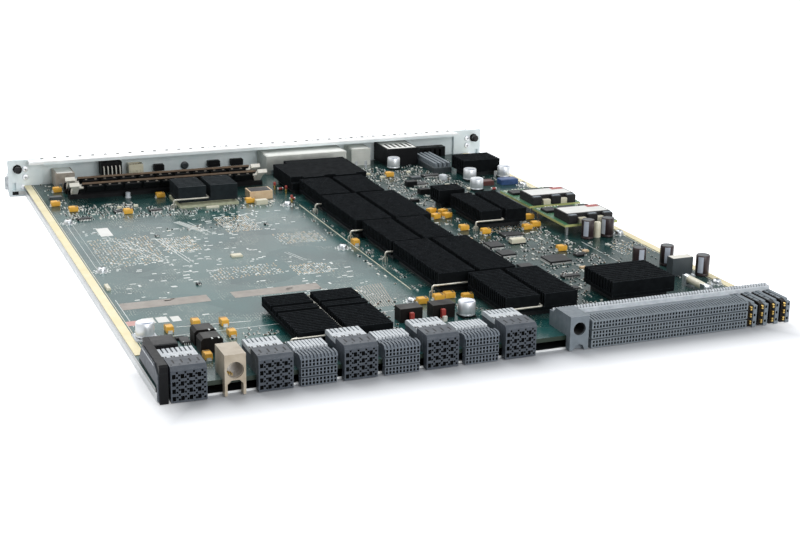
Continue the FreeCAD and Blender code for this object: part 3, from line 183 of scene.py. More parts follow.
def turned(profile: Sequence[tuple[float, float]], sides: int = 20) -> Shape:
    """A turned form about Z: each profile point (radius, height) is carried round a full circle.

    Args:
        profile: Points from the foot to the top.
        sides: Points of each circle.

    Returns:
        The closed surface.
    """
    spin = np.linspace(0, 2*np.pi, sides, endpoint=False)
    radius, height = np.array(profile, float).T
    ring = np.stack([np.cos(spin), np.sin(spin)], axis=-1)
    flat = radius[:, None, None]*ring[None]
    return loft(np.concatenate([flat, np.broadcast_to(height[:, None, None], (*flat.shape[:2], 1))], axis=2))


def extruded(outline: Sequence[tuple[float, float]], low: float, high: float, along: str) -> Shape:
    """A closed outline carried straight along one axis.

    Args:
        outline: Corners, as (Y, Z) along X, (Z, X) along Y or (X, Y) along Z, in either turning sense.
        low: Where it starts on that axis.
        high: Where it ends.
        along: The axis, X, Y or Z.

    Returns:
        The closed surface.
    """
    flat = np.array(outline, float)
    after = np.roll(flat, -1, axis=0)
    if np.sum(flat[:, 0]*after[:, 1] - after[:, 0]*flat[:, 1]) < 0:
        flat = flat[::-1]
    ends = np.array([low, high])[:, None, None]*np.ones((1, len(flat), 1))
    stack = np.concatenate([np.broadcast_to(flat, (2, *flat.shape)), ends], axis=2)
    return loft(np.roll(stack, {"X": 1, "Y": 2, "Z": 0}[along], axis=2))


def across(profile: Sequence[tuple[float, float]], width: float) -> Shape:
    """Carries a closed (Y, Z) profile along X, half of the width to each side."""
    return extruded(profile, -width/2, width/2, "X")


def tube(path: Any, radius: float, sides: int = 8) -> Shape:
    """A round section carried along a path, its ring at each point square to the mean direction there.

    Args:
        path: Points of the path.
        radius: Radius of the section.
        sides: Points of each ring.

    Returns:
        The closed surface.
    """
    line = np.asarray(path, float)
    run = np.gradient(line, axis=0)
    run /= np.linalg.norm(run, axis=1, keepdims=True)
    side = np.cross(run, (0.36, 0.48, 0.8))
    side /= np.linalg.norm(side, axis=1, keepdims=True)
    other = np.cross(run, side)
    spin = np.linspace(0, 2*np.pi, sides, endpoint=False)
    ring = np.cos(spin)[None, :, None]*side[:, None] + np.sin(spin)[None, :, None]*other[:, None]
    return loft(line[:, None] + radius*ring)


def rounded(path: Any, radius: float, steps: int = 4) -> Array:
    """Rounds the corners of a bent path: each one becomes a quadratic arc between points on its two runs.

    Args:
        path: Corner points.
        radius: Distance of the arc's ends from the corner.
        steps: Pieces of each arc.

    Returns:
        The points of the rounded path.
    """
    line = np.asarray(path, float)
    before, corner, after = line[:-2], line[1:-1], line[2:]
    back = (before - corner)/np.linalg.norm(before - corner, axis=1, keepdims=True)
    ahead = (after - corner)/np.linalg.norm(after - corner, axis=1, keepdims=True)
    t = np.linspace(0, 1, steps + 1)[None, :, None]
    arcs = (corner[:, None] + radius*((1 - t)**2*back[:, None] + t**2*ahead[:, None])).reshape(-1, 3)
    return np.concatenate([line[:1], arcs, line[-1:]])


def lattice(columns: Array, rows: Array, opened: Array, depth: float, thick: float) -> Shape:
    """A plate that faces +Y with blind openings, on a grid of column and row edges.

    Closed cells have a face at Y = 0, open ones a floor at -depth, and a wall stands wherever an open
    cell meets a closed one. The rim runs back to -thick, where one face closes the plate.

    Args:
        columns: Edges along X, rising.
        rows: Edges along Z, rising.
        opened: True for each open cell, columns by rows.
        depth: Depth of the openings.
        thick: Thickness of the plate.

    Returns:
        The closed surface.
    """
    wide, high = len(columns), len(rows)
    flat = np.stack(np.meshgrid(columns, rows, indexing="ij"), axis=-1).reshape(-1, 2)
    layer = np.stack([flat[:, 0], np.zeros(len(flat)), flat[:, 1]], axis=-1)
    points = np.concatenate([layer, layer - (0, depth, 0), layer - (0, thick, 0)])
    index = np.arange(wide*high).reshape(wide, high)
    cells = np.stack([index[:-1, :-1], index[:-1, 1:], index[1:, 1:], index[1:, :-1]], axis=-1)
    deep = wide*high
    quads = [cells[~opened], cells[opened] + deep]
    ringed = np.pad(opened, 1)
    for step, first, second in (((-1, 0), 0, 1), ((0, 1), 1, 2), ((1, 0), 2, 3), ((0, -1), 3, 0)):
        beside = ringed[1 + step[0]:wide + step[0], 1 + step[1]:high + step[1]]
        edge = cells[opened & ~beside]
        quads.append(np.stack([edge[:, first], edge[:, second], edge[:, second] + deep,
                               edge[:, first] + deep], axis=-1))
    rim = np.concatenate([index[:-1, 0], index[-1, :-1], index[:0:-1, -1], index[0, :0:-1]])
    after = np.roll(rim, -1)
    quads.append(np.stack([rim, after, after + 2*deep, rim + 2*deep], axis=-1))
    return Shape(points, {4: np.concatenate(quads), len(rim): (rim + 2*deep)[None]}).tidy()


class Wiring:
    """Adds nodes to a shader tree and joins them, a step a line."""

    def __init__(self, tree: Tree) -> None:
        """Keeps the tree that gets the nodes."""
        self.tree = tree

    def feed(self, socket: Socket, value: Any) -> None:
        """Links a socket into another, or sets it to a plain value.

        Args:
            socket: The input.
            value: An output to link, or the plain value.
        """
        if isinstance(value, Socket):
            self.tree.links.new(value, socket)
        else:
            socket.default_value = value

    def node(self, kind: str, settings: Optional[dict[str, Any]] = None, **inputs: Any) -> Node:
        """Adds a node.

        Args:
            kind: Blender's node type, without its common start.
            settings: Its properties.
            inputs: Its sockets by name, with underscores for spaces.

        Returns:
            The node.
        """
        made = self.tree.nodes.new("ShaderNode" + kind)
        for key, value in (settings or {}).items():
            setattr(made, key, value)
        for key, value in inputs.items():
            self.feed(made.inputs[key.replace("_", " ")], value)
        return made

    def group(self, tree: Tree, **inputs: Any) -> Sequence[Socket]:
        """Adds a shared node group and gives its outputs."""
        return self.node("Group", {"node_tree": tree}, **inputs).outputs

    def pair(self, kind: str, operation: str, first: Any, second: Any) -> Sequence[Socket]:
        """Adds a node that takes two values.

        Args:
            kind: Blender's node type, without its common start.
            operation: What it does.
            first, second: The values.

        Returns:
            Its outputs.
        """
        made = self.node(kind, {"operation": operation})
        self.feed(made.inputs[0], first)
        self.feed(made.inputs[1], second)
        return made.outputs

    def math(self, operation: str, first: Any, second: Any = 0.0) -> Socket:
        """Adds one arithmetic step and gives its result."""
        return self.pair("Math", operation, first, second)[0]

    def times(self, first: Any, second: Any) -> Socket:
        """Multiplies two values."""
        return self.math("MULTIPLY", first, second)

    def scaled(self, where: Any, factors: Any) -> Socket:
        """Stretches a coordinate along its three axes."""
        return self.pair("VectorMath", "MULTIPLY", where, factors)[0]

    def mix(self, share: Any, first: Any, second: Any) -> Socket:
        """Mixes two colours.

        Args:
            share: Share of the second colour.
            first, second: The colours.

        Returns:
            The mixed colour.
        """
        made = self.node("Mix", {"data_type": "RGBA"})
        for place, value in ((0, share), (6, first), (7, second)):
            self.feed(made.inputs[place], value)
        return made.outputs[2]

    def span(self, value: Any, low: float, high: float, start: float = 0.0, end: float = 1.0) -> Socket:
        """Maps low..high onto start..end, held at both ends."""
        return self.node("MapRange", Value=value, From_Min=low, From_Max=high, To_Min=start,
                         To_Max=end).outputs[0]

    def noise(self, where: Any, scale: Any, detail: float = 3.0) -> Socket:
        """Adds cloud noise and gives its value."""
        return self.node("TexNoise", Vector=where, Scale=scale, Detail=detail).outputs[0]

    def parts(self, vector: Any) -> Sequence[Socket]:
        """Splits a vector into X, Y and Z."""
        return self.node("SeparateXYZ", Vector=vector).outputs

    def upward(self) -> Socket:
        """Gives how far the surface faces up, as Z of its normal."""
        return self.parts(self.node("NewGeometry").outputs["Normal"])[2]


def fresh(owner: Any) -> Wiring:
    """Switches a material or world to nodes and clears them.

    Args:
        owner: The material or world.

    Returns:
        The wiring of its empty tree.
    """
    owner.use_nodes = True
    owner.node_tree.nodes.clear()
    return Wiring(owner.node_tree)


class Effects:
    """Shader node groups that several finishes share, each built once."""

    @staticmethod
    def start(name: str, takes: dict[str, str], gives: dict[str, str]
              ) -> tuple[Wiring, Sequence[Socket], Sequence[Socket]]:
        """Begins a group with named sockets.

        Args:
            name: The group's name.
            takes: Inputs and their kinds.
            gives: Outputs and their kinds.

        Returns:
            The wiring, the sockets of the inputs and those of the outputs.
        """
        tree = bpy.data.node_groups.new(name, "ShaderNodeTree")
        for rows, way in ((takes, "INPUT"), (gives, "OUTPUT")):
            for label, kind in rows.items():
                tree.interface.new_socket(name=label, in_out=way, socket_type="NodeSocket" + kind)
        given, out = (tree.nodes.new("NodeGroup" + way) for way in ("Input", "Output"))
        return Wiring(tree), given.outputs, out.inputs

    @classmethod
    @cache
    def grain(cls) -> Tree:
        """Mottle and grain: slow noise mixes two tones, fine noise gives a mask and a height.

        Returns:
            The group.
        """
        finer, slow_share, fine_share = 14.0, 0.6, 0.4
        wire, given, out = cls.start(
            "grain", {"Vector": "Vector", "Scale": "Float", "Tone": "Color", "Deep": "Color"},
            {"Colour": "Color", "Cloud": "Float", "Height": "Float"})
        where, scale, tone, deep = given[:4]
        cloud = wire.span(wire.noise(where, scale), 0.3, 0.7)
        fine = wire.noise(where, wire.times(scale, finer), 2.0)
        wire.feed(out[0], wire.mix(cloud, tone, deep))
        wire.feed(out[1], wire.math("ADD", wire.times(cloud, slow_share), wire.times(fine, fine_share)))
        wire.feed(out[2], fine)
        return wire.tree

    @classmethod
    @cache
    def streaks(cls) -> Tree:
        """Drawn-metal streaks: noise stretched along the rolling direction, as a mask.

        Returns:
            The group.
        """
        wire, given, out = cls.start("streaks", {"Vector": "Vector", "Stretch": "Vector"},
                                     {"Streak": "Float"})
        wire.feed(out[0], wire.span(wire.noise(wire.scaled(given[0], given[1]), 1.0, 4.0), 0.25, 0.75))
        return wire.tree

    @classmethod
    @cache
    def wear_and_highlight_edges(cls) -> Tree:
        """Rubbed edges with a painted highlight: where the rounded normal leaves the flat one, broken up by
        noise, as a mask.

        Returns:
            The group.
        """
        break_scale = 900.0
        wire, given, out = cls.start("wear_and_highlight_edges", {"Vector": "Vector", "Radius": "Float"}, {"Edge": "Float"})
        soft = wire.node("Bevel", {"samples": 4}, Radius=given[1]).outputs[0]
        flat = wire.node("NewGeometry").outputs["Normal"]
        edge = wire.span(wire.pair("VectorMath", "DOT_PRODUCT", soft, flat)["Value"], 0.98, 0.75)
        breaks = wire.span(wire.noise(given[0], break_scale), 0.3, 0.6)
        wire.feed(out[0], wire.times(edge, breaks))
        return wire.tree

    @classmethod
    @cache
    def dust(cls) -> Tree:
        """Settled dust on upward faces, in soft patches, as a mask.

        Returns:
            The group.
        """
        patch_scale = 60.0
        wire, given, out = cls.start("dust", {"Vector": "Vector", "Amount": "Float"}, {"Dust": "Float"})
        patch = wire.span(wire.noise(given[0], patch_scale, 4.0), 0.35, 0.75)
        wire.feed(out[0], wire.times(wire.times(wire.span(wire.upward(), 0.6, 1.0), patch), given[1]))
        return wire.tree


class Rolling(Enum):
    """Which way a sheet was rolled or brushed: how much its streaks are stretched along X, Y and Z."""

    ALONG_X = (40.0, 900.0, 900.0)
    ALONG_Y = (900.0, 40.0, 900.0)
    ALONG_Z = (900.0, 900.0, 40.0)
    NONE = (350.0, 350.0, 350.0)


@dataclass(frozen=True)
class Finish:
    """A surface finish; the base class makes plastics, coatings and metals.

    Attributes:
        name: The material's name.
        tone: Main colour.
        deep: Colour of the darker mottle.
        slot: Name of a record slot; not used.
        rough: Lowest and highest roughness.
        scale: Size of the mottle, as waves a metre.
        bump: Strength of the grain's relief.
        wear_and_highlight: Colour of rubbed edges, which also paints a highlight along them.
        wear_and_highlight_radius: How far the rubbing and the painted highlight reach from an edge, in
            millimetres.
        dust: Share of dust on upward faces.
        metallic: Share of bare metal, which also brings streaks.
        rolling: Direction of the streaks.
        specular: Strength of the plain reflection.
        inner: Colour of upward faces at the bottom of the tray, painted shade for the dark gap under the
            board.
    """

    name: str
    tone: str
    deep: str
    slot: str
    rough: tuple[float, float] = (0.4, 0.55)
    scale: float = 120.0
    bump: float = 0.12
    wear_and_highlight: Optional[str] = None
    wear_and_highlight_radius: float = 0.25
    dust: float = 0.12
    metallic: float = 0.0
    rolling: Rolling = Rolling.NONE
    specular: float = 0.5
    inner: Optional[str] = None

    def material(self) -> bpy.types.Material:
        """Gives the material, built at the first call.

        Returns:
            The Blender material.
        """
        found = bpy.data.materials.get(self.name + "_finish")
        if found:
            return found
        made = bpy.data.materials.new(self.name + "_finish")
        wire = fresh(made)
        where = wire.node("TexCoord").outputs["Object"]
        shader = wire.node("BsdfPrincipled", Metallic=self.metallic, Specular_IOR_Level=self.specular)
        self.dress(wire, where, shader)
        wire.node("OutputMaterial", Surface=shader.outputs[0])
        made.diffuse_color = colour(self.tone)
        return made

    def mottle(self, wire: Wiring, where: Socket) -> Sequence[Socket]:
        """Adds the mottle of the two tones and gives its colour, cloud and height."""
        return wire.group(Effects.grain(), Vector=where, Scale=self.scale, Tone=colour(self.tone),
                          Deep=colour(self.deep))[:3]

    def surface(self, wire: Wiring, shader: Node, tint: Any, cloud: Any, height: Any, depth: float) -> None:
        """Feeds colour, roughness and relief to the shader.

        Args:
            wire: The material's wiring.
            shader: The Principled shader.
            tint: Colour.
            cloud: What the roughness follows, 0 to 1.
            height: What the relief follows.
            depth: Depth of the relief in millimetres.
        """
        relief = wire.node("Bump", Strength=self.bump, Distance=depth*MM, Height=height).outputs[0]
        rough = wire.span(cloud, 0.0, 1.0, *self.rough)
        for name, value in (("Base Color", tint), ("Roughness", rough), ("Normal", relief)):
            wire.feed(shader.inputs[name], value)

    def dress(self, wire: Wiring, where: Socket, shader: Node) -> None:
        """Feeds the shader: mottled colour, streaks, rubbed edges with a painted highlight, dust and painted
        shade on the tray's floor.

        Args:
            wire: The material's wiring.
            where: Object coordinates.
            shader: The Principled shader.
        """
        dust_tone, relief_depth, painted_shade_heights = "B9BBB8", 0.05, (2.0*MM, 1.6*MM)
        tint, cloud, height = self.mottle(wire, where)
        if self.metallic:
            streak = wire.group(Effects.streaks(), Vector=where, Stretch=self.rolling.value)[0]
            tint = wire.mix(wire.times(streak, 0.35), tint, colour(self.deep))
            cloud = wire.math("ADD", wire.times(cloud, 0.4), wire.times(streak, 0.6))
            height = wire.math("ADD", wire.times(height, 0.3), streak)
        # rubbed edges, lightened also as a painted highlight where light would catch them
        if self.wear_and_highlight:
            edge = wire.group(Effects.wear_and_highlight_edges(), Vector=where, Radius=self.wear_and_highlight_radius*MM)[0]
            tint = wire.mix(edge, tint, colour(self.wear_and_highlight))
        if self.dust:
            dust = wire.group(Effects.dust(), Vector=where, Amount=self.dust)[0]
            tint = wire.mix(dust, tint, colour(dust_tone))
        # painted shade: upward faces low in the tray, under the board, take the dark inner colour
        if self.inner:
            inside = wire.times(wire.span(wire.parts(where)[2], *painted_shade_heights),
                                wire.span(wire.upward(), 0.8, 0.9))
            tint = wire.mix(inside, tint, colour(self.inner))
        self.surface(wire, shader, tint, cloud, height, relief_depth)


@dataclass(frozen=True)
class Laminate(Finish):
    """Solder-masked board: patches of fine parallel traces, via dots in fields, a mottled mask and a clear
    coat, with painted sheen and painted shade laid on by place.

    Attributes:
        trace: Colour of the traces.
        via: Colour of the vias.
        edge: Colour of the cut edges, darkened as painted shade for the board's edge between the rear
            connectors.
        painted_shade_tone: Colour of painted shade that the mask takes away from the open side, where parts
            crowd.
        varnish_sheen_and_shade: Weight of the clear coat on the open side; it falls off away from there as a
            painted sheen, and it also turns on the painted shade.
        trace_pitch: Distance between traces in millimetres.
        via_pitch: Distance between vias in millimetres.
    """

    trace: str = "7D9690"
    via: str = "B9BDB0"
    # the default edge colour is partly painted shade for the main board's edge
    edge: str = "2A362C"
    painted_shade_tone: str = "0B1B19"
    varnish_sheen_and_shade: float = 0.0
    trace_pitch: float = 0.9
    via_pitch: float = 1.6

    def dress(self, wire: Wiring, where: Socket, shader: Node) -> None:
        """Feeds the shader: cells pick a trace direction, regular dots show where slow noise is high. Away
        from the open side the clear coat thins as a painted sheen and the mask darkens as painted shade.

        Args:
            wire: The material's wiring.
            where: Object coordinates.
            shader: The Principled shader.
        """
        cell_scale, field_scale, coat_rough, relief_depth = (38.0, 52.0, 1.0), 42.0, 0.2, 0.04
        flat = wire.scaled(where, (1.0, 1.0, 0.0))
        tint, cloud, _ = self.mottle(wire, where)
        cells = wire.node("TexVoronoi", {"feature": "F1"}, Vector=wire.scaled(flat, cell_scale), Scale=1.0)
        pick = wire.node("SeparateColor", Color=cells.outputs["Color"]).outputs
        angle = wire.times(wire.math("FLOOR", wire.times(pick[0], 4.0)), math.radians(45))
        turn = wire.node("VectorRotate", {"rotation_type": "Z_AXIS"}, Vector=flat, Angle=angle).outputs[0]
        wave = wire.math("SINE", wire.times(wire.parts(turn)[0], 2*math.pi/(self.trace_pitch*MM)))
        lines = wire.times(wire.span(wave, 0.1, 0.6), wire.span(pick[1], 0.35, 0.55))
        tint = wire.mix(wire.times(lines, 0.45), tint, colour(self.trace))
        dots = wire.node("TexVoronoi", {"feature": "F1"}, Vector=flat, Scale=1/(self.via_pitch*MM),
                         Randomness=0.35)
        fields = wire.span(wire.noise(flat, field_scale, 4.0), 0.5, 0.58)
        spots = wire.times(wire.span(dots.outputs["Distance"], 0.27, 0.2), fields)
        tint = wire.mix(wire.times(spots, 0.8), tint, colour(self.via))
        level = wire.span(wire.math("ABSOLUTE", wire.upward()), 0.3, 0.6)
        tint = wire.mix(level, colour(self.edge), tint)
        # painted sheen and painted shade: coat weight and mask colour follow a place mask, high on the open
        # side
        if self.varnish_sheen_and_shade:
            x, y, _ = wire.parts(where)
            lit_side = wire.times(wire.span(x, -0.07, 0.0, 0.05, 1.0), wire.span(y, -0.13, -0.08, 0.1, 1.0))
            wire.feed(shader.inputs["Coat Weight"], wire.times(lit_side, self.varnish_sheen_and_shade))
            wire.feed(shader.inputs["Coat Roughness"], coat_rough)
            tint = wire.mix(wire.span(lit_side, 0.0, 0.6, 0.35, 1.0), colour(self.painted_shade_tone), tint)
        self.surface(wire, shader, tint, cloud, wire.math("ADD", lines, wire.times(spots, 1.5)), relief_depth)


class Palette:
    """The finishes of the module."""

    # inner paints shade on the tray's floor under the board
    TRAY = Finish("tray_steel", "EEF0F0", "DADDDE", "sheet_steel", (0.32, 0.48), metallic=0.35,
                  rolling=Rolling.ALONG_Y, bump=0.1, inner="1C1E1F")
    PANEL = Finish("panel_steel", "F0F8F9", "E0ECEE", "panel_steel", (0.4, 0.55), metallic=0.05,
                   rolling=Rolling.ALONG_X, bump=0.08, wear_and_highlight="FFFFFF")
    STRIP = Finish("contact_strip", "F4F6F6", "E6E9E9", "panel_steel", (0.35, 0.5), metallic=0.25,
                   rolling=Rolling.ALONG_X, bump=0.06)
    CAGE = Finish("cage_steel", "D6D8D2", "BBBEB8", "cage_steel", (0.3, 0.45), metallic=0.5,
                  rolling=Rolling.ALONG_X, bump=0.08)
    LID = Finish("cage_lid", "F4F5F1", "E6E8E2", "cage_steel", (0.35, 0.5), metallic=0.1,
                 rolling=Rolling.ALONG_X, bump=0.05)
    TURNED = Finish("turned_steel", "DDE0E2", "A6ABAF", "turned_steel", (0.2, 0.38), metallic=0.9,
                    rolling=Rolling.ALONG_Z, scale=300.0)
    LEVER = Finish("cast_lever", "B9BDC0", "8F9497", "cast_lever", (0.35, 0.55), metallic=0.8, scale=500.0,
                   bump=0.3, wear_and_highlight="E6E8E8")
    BOARD = Laminate("board_laminate", "235A59", "143F3F", "board_laminate", (0.16, 0.28), scale=22.0,
                     bump=0.2, specular=0.15, varnish_sheen_and_shade=0.62)
    # the fins' light edge tone is mostly a painted highlight along their tops
    FINS = Finish("black_fins", "15181A", "0F1113", "black_fins", (0.72, 0.88), scale=260.0, bump=0.2,
                  wear_and_highlight="4C5258", wear_and_highlight_radius=0.35, dust=0.0, specular=0.03)
    SLATE = Finish("slate_fins", "252B2E", "1E2326", "black_fins", (0.6, 0.78), scale=260.0, bump=0.2,
                   wear_and_highlight="3F4549", wear_and_highlight_radius=0.3, dust=0.0, specular=0.06)
    GREY = Finish("connector_grey", "4C525A", "41474F", "connector_grey", (0.45, 0.6), scale=300.0,
                  wear_and_highlight="7F8890", wear_and_highlight_radius=0.2, dust=0.05, specular=0.3)
    # painted light: on the blades and the long connector these lighter copies of the connector grey stand in
    # for the stronger light falling there
    MIDDLE = replace(GREY, name="blade_grey", tone="6C747D", deep="616972", wear_and_highlight="929BA3")
    LIGHT = replace(GREY, name="long_grey", tone="7A838A", deep="6E777E", wear_and_highlight="B4BCC2")
    PALE = Finish("connector_pale", "D0D6DB", "B9C0C6", "connector_grey", (0.4, 0.55), scale=300.0,
                  wear_and_highlight="FAFBFC")
    BEIGE = Finish("guide_beige", "BFB3A0", "A89B86", "guide_beige", (0.35, 0.5), scale=160.0, wear_and_highlight="EDE6D9")
    BLACK = Finish("black_plastic", "131416", "0C0D0F", "black_plastic", (0.4, 0.55), scale=300.0,
                   wear_and_highlight="2C2F32", dust=0.03, specular=0.12)
    # painted shade: near-black marks in shallow holes and on slit lines, standing in for the shade of deep
    # ones
    SHADE_BLACK = Finish("painted_shade_black", "060708", "020303", "black_plastic", (0.7, 0.9), scale=300.0, dust=0.0,
                    specular=0.05)
    WHITE = Finish("white_plastic", "F3F1E8", "E2DFD3", "white_plastic", (0.35, 0.5), scale=200.0)
    BARE = Finish("bare_aluminium", "F0F2F4", "D3D8DD", "bare_aluminium", (0.3, 0.45), metallic=0.5,
                  scale=200.0)
    SLEEVE = Finish("sleeve_brown", "352729", "241A1C", "sleeve_brown", (0.25, 0.4), scale=200.0,
                    specular=0.35)
    STRIPE = Finish("sleeve_stripe", "C3CAD6", "AEB6C3", "film_dip", (0.3, 0.45), scale=200.0)
    FILM = Finish("film_dip", "3C4448", "32393D", "film_dip", (0.3, 0.45), scale=160.0)
    CREAM = Finish("cream_ceramic", "EAE6D2", "D8D2B8", "cream_ceramic", (0.3, 0.45), scale=200.0)
    FERRITE = Finish("ferrite", "242426", "18181A", "ferrite", (0.5, 0.65), scale=500.0, bump=0.35,
                     wear_and_highlight="4A4B4D", specular=0.25)
    CHIP = Finish("chip_black", "1D1F21", "141618", "black_plastic", (0.45, 0.6), scale=600.0, bump=0.25,
                  dust=0.05, specular=0.3)
    SUBSTRATE = Finish("substrate_olive", "C6C8AC", "ABAD8F", "board_laminate", (0.35, 0.5), scale=400.0)
    GREEN = Laminate("converter_green", "3F7A55", "2C5F40", "board_laminate", (0.3, 0.45), scale=60.0,
                     bump=0.2, trace="6FA383", via="C9CDB8", edge="C3C884")
    GOLD = Finish("gold_contact", "E0C27A", "B4924A", "turned_steel", (0.2, 0.35), metallic=0.8, scale=400.0)
    EDGE_GOLD = Finish("edge_strip", "F2E8C4", "E4D7A8", "bare_aluminium", (0.3, 0.45), metallic=0.2,
                       rolling=Rolling.ALONG_Y, scale=90.0)
    TANTALUM = Finish("tantalum_orange", "F8C048", "EAAA30", "cream_ceramic", (0.35, 0.5), scale=500.0,
                      wear_and_highlight="FFE2A4", dust=0.0)
    PRINT = Finish("white_print", "E8ECEA", "D8DEDB", "white_plastic", (0.5, 0.65), scale=500.0, dust=0.0)
    LABEL = Finish("bare_label", "ECEDEA", "DFE0DC", "white_plastic", (0.45, 0.6), scale=90.0, dust=0.05)
    SOLDER = Finish("tinned_pad", "EBEDEA", "CFD3D0", "turned_steel", (0.3, 0.45), metallic=0.3, scale=700.0)
    RED = Finish("red_patch", "B0443C", "97352F", "film_dip", (0.35, 0.5), scale=300.0)
    RUST = Finish("rust_block", "5B2B26", "43201D", "film_dip", (0.35, 0.5), scale=300.0)
    BLUE = Finish("blue_part", "2F5288", "23406C", "film_dip", (0.35, 0.5), scale=300.0)
    WIRE = Finish("spring_wire", "D8D5CA", "B5B1A5", "turned_steel", (0.25, 0.4), metallic=0.6, scale=300.0)
    BAND = Finish("bare_band", "9A9188", "888078", "cream_ceramic", (0.4, 0.55), scale=200.0)
    TAN = Finish("bare_tan", "B3ABA0", "9A9186", "cream_ceramic", (0.4, 0.55), scale=300.0, dust=0.05)
    PEACH = Finish("peach_part", "EBD0AC", "DBBB93", "cream_ceramic", (0.35, 0.5), scale=300.0, dust=0.05)
    PINK = Finish("pink_label", "D8AAA4", "CC968F", "white_plastic", (0.45, 0.6), scale=150.0)
    DARK_BROWN = Finish("relay_brown", "1A1716", "110F0E", "ferrite", (0.45, 0.6), scale=300.0, wear_and_highlight="4C4340",
                        specular=0.15)
    BROWN = Finish("module_brown", "5A4327", "3F2D18", "board_laminate", (0.35, 0.5), scale=300.0)


def dress(finish: Finish, *nodes: str) -> None:
    """Gives CAD nodes a finish.

    Args:
        finish: The finish.
        nodes: Names of the nodes.
    """
    for name in nodes:
        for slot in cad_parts[name].material_slots:
            slot.material = finish.material()


def placed(name: str, data: Any) -> bpy.types.Object:
    """Puts an object into the scene.

    Args:
        name: Its name.
        data: Its mesh, light or camera.

    Returns:
        The object.
    """
    made = bpy.data.objects.new(name, data)
    bpy.context.scene.collection.objects.link(made)
    return made


def piece(name: str, shapes: Sequence[Shape], finish: Finish, spots: Any = (0, 0, 0), turns: Any = 0.0,
          body: str = "module", replaces: Sequence[str] = (), smooth: bool = False) -> None:
    """Makes one mesh object of surfaces, rides it on a body and dresses it.

    Args:
        name: The piece's name.
        shapes: Its surfaces, in millimetres.
        finish: Its finish.
        spots: Offsets of the copies that it holds, three numbers a row.
        turns: Angles of the copies about Z in radians.
        body: The body that it moves with.
        replaces: CAD nodes that it stands for.
        smooth: Shades gentle bends as round.
    """
    whole = Shape.join(shapes).copies(spots, 1.0, turns)
    mesh = bpy.data.meshes.new(name)
    faces = [row for rows in whole.faces.values() for row in rows.tolist()]
    mesh.from_pydata((whole.points*MM).tolist(), [], faces)
    if smooth:
        mesh.polygons.foreach_set("use_smooth", np.ones(len(mesh.polygons), bool))
        mesh.set_sharp_from_angle(angle=math.radians(40))
    mesh.materials.append(finish.material())
    made = placed(name, mesh)
    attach(made, body)
    if replaces:
        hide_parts(*replaces)
    LOG.info("%s: %d faces in %s", name, len(faces), finish.name)


def node_box(name: str) -> tuple[Array, Array]:
    """Gives a CAD node's lowest and highest corners in millimetres."""
    low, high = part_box(name)
    return np.array(low)/MM, np.array(high)/MM


def places(xs: Any, ys: Any, zs: Any) -> Array:
    """Pairs up coordinates, with single numbers repeated, into rows of three."""
    every = np.broadcast_arrays(*(np.asarray(values, float) for values in (xs, ys, zs)))
    return np.stack(every, axis=-1).reshape(-1, 3)


def on_board(rows: Any) -> Array:
    """Puts rows that start with X and Y onto the board's upper face."""
    return places(*np.array(rows, float)[:, :2].T, BOARD_TOP)


def arc(radius: float, start: float, end: float, count: int, closed: bool = True) -> Array:
    """Gives points on an arc round the origin, between two angles in radians, as rows of two."""
    turn = np.linspace(start, end, count, endpoint=closed)
    return radius*np.stack([np.cos(turn), np.sin(turn)], axis=-1)


def spread(count: int, pitch: float, middle: float = 0.0) -> Array:
    """Spaces places evenly about a middle."""
    return middle + pitch*(np.arange(count) - (count - 1)/2)


def holes(count: int, pitch: float, size: float, middle: float, edge: float) -> tuple[Array, Array]:
    """Gives the edges and the open cells of one run of square holes.

    Args:
        count: Number of holes.
        pitch: Distance between them.
        size: Width of each.
        middle: Middle of the run.
        edge: Half of the whole run's length.

    Returns:
        The rising edges, and which of the cells between them is open.
    """
    mids = spread(count, pitch, middle)
    edges = np.concatenate([[middle - edge], np.stack([mids - size/2, mids + size/2], axis=-1).ravel(),
                            [middle + edge]])
    return edges, np.arange(len(edges) - 1) % 2 == 1


@dataclass(frozen=True)
class Kind:
    """One kind of rear connector.

    Attributes:
        xs: Middles of its copies along X.
        half: Half of its width.
        top: Height of its top.
        depth: How far it reaches back from its face.
        bar: Height of a pierced bar, where its face has bars.
    """

    xs: tuple[float, ...]
    half: float
    top: float
    depth: float
    bar: float = 0.0

    @property
    def spots(self) -> Array:
        """Gives the offsets of the copies."""
        return places(self.xs, 0, 0)

    @property
    def back(self) -> float:
        """Gives where the connector ends on the board."""
        return FACE_Y - self.depth


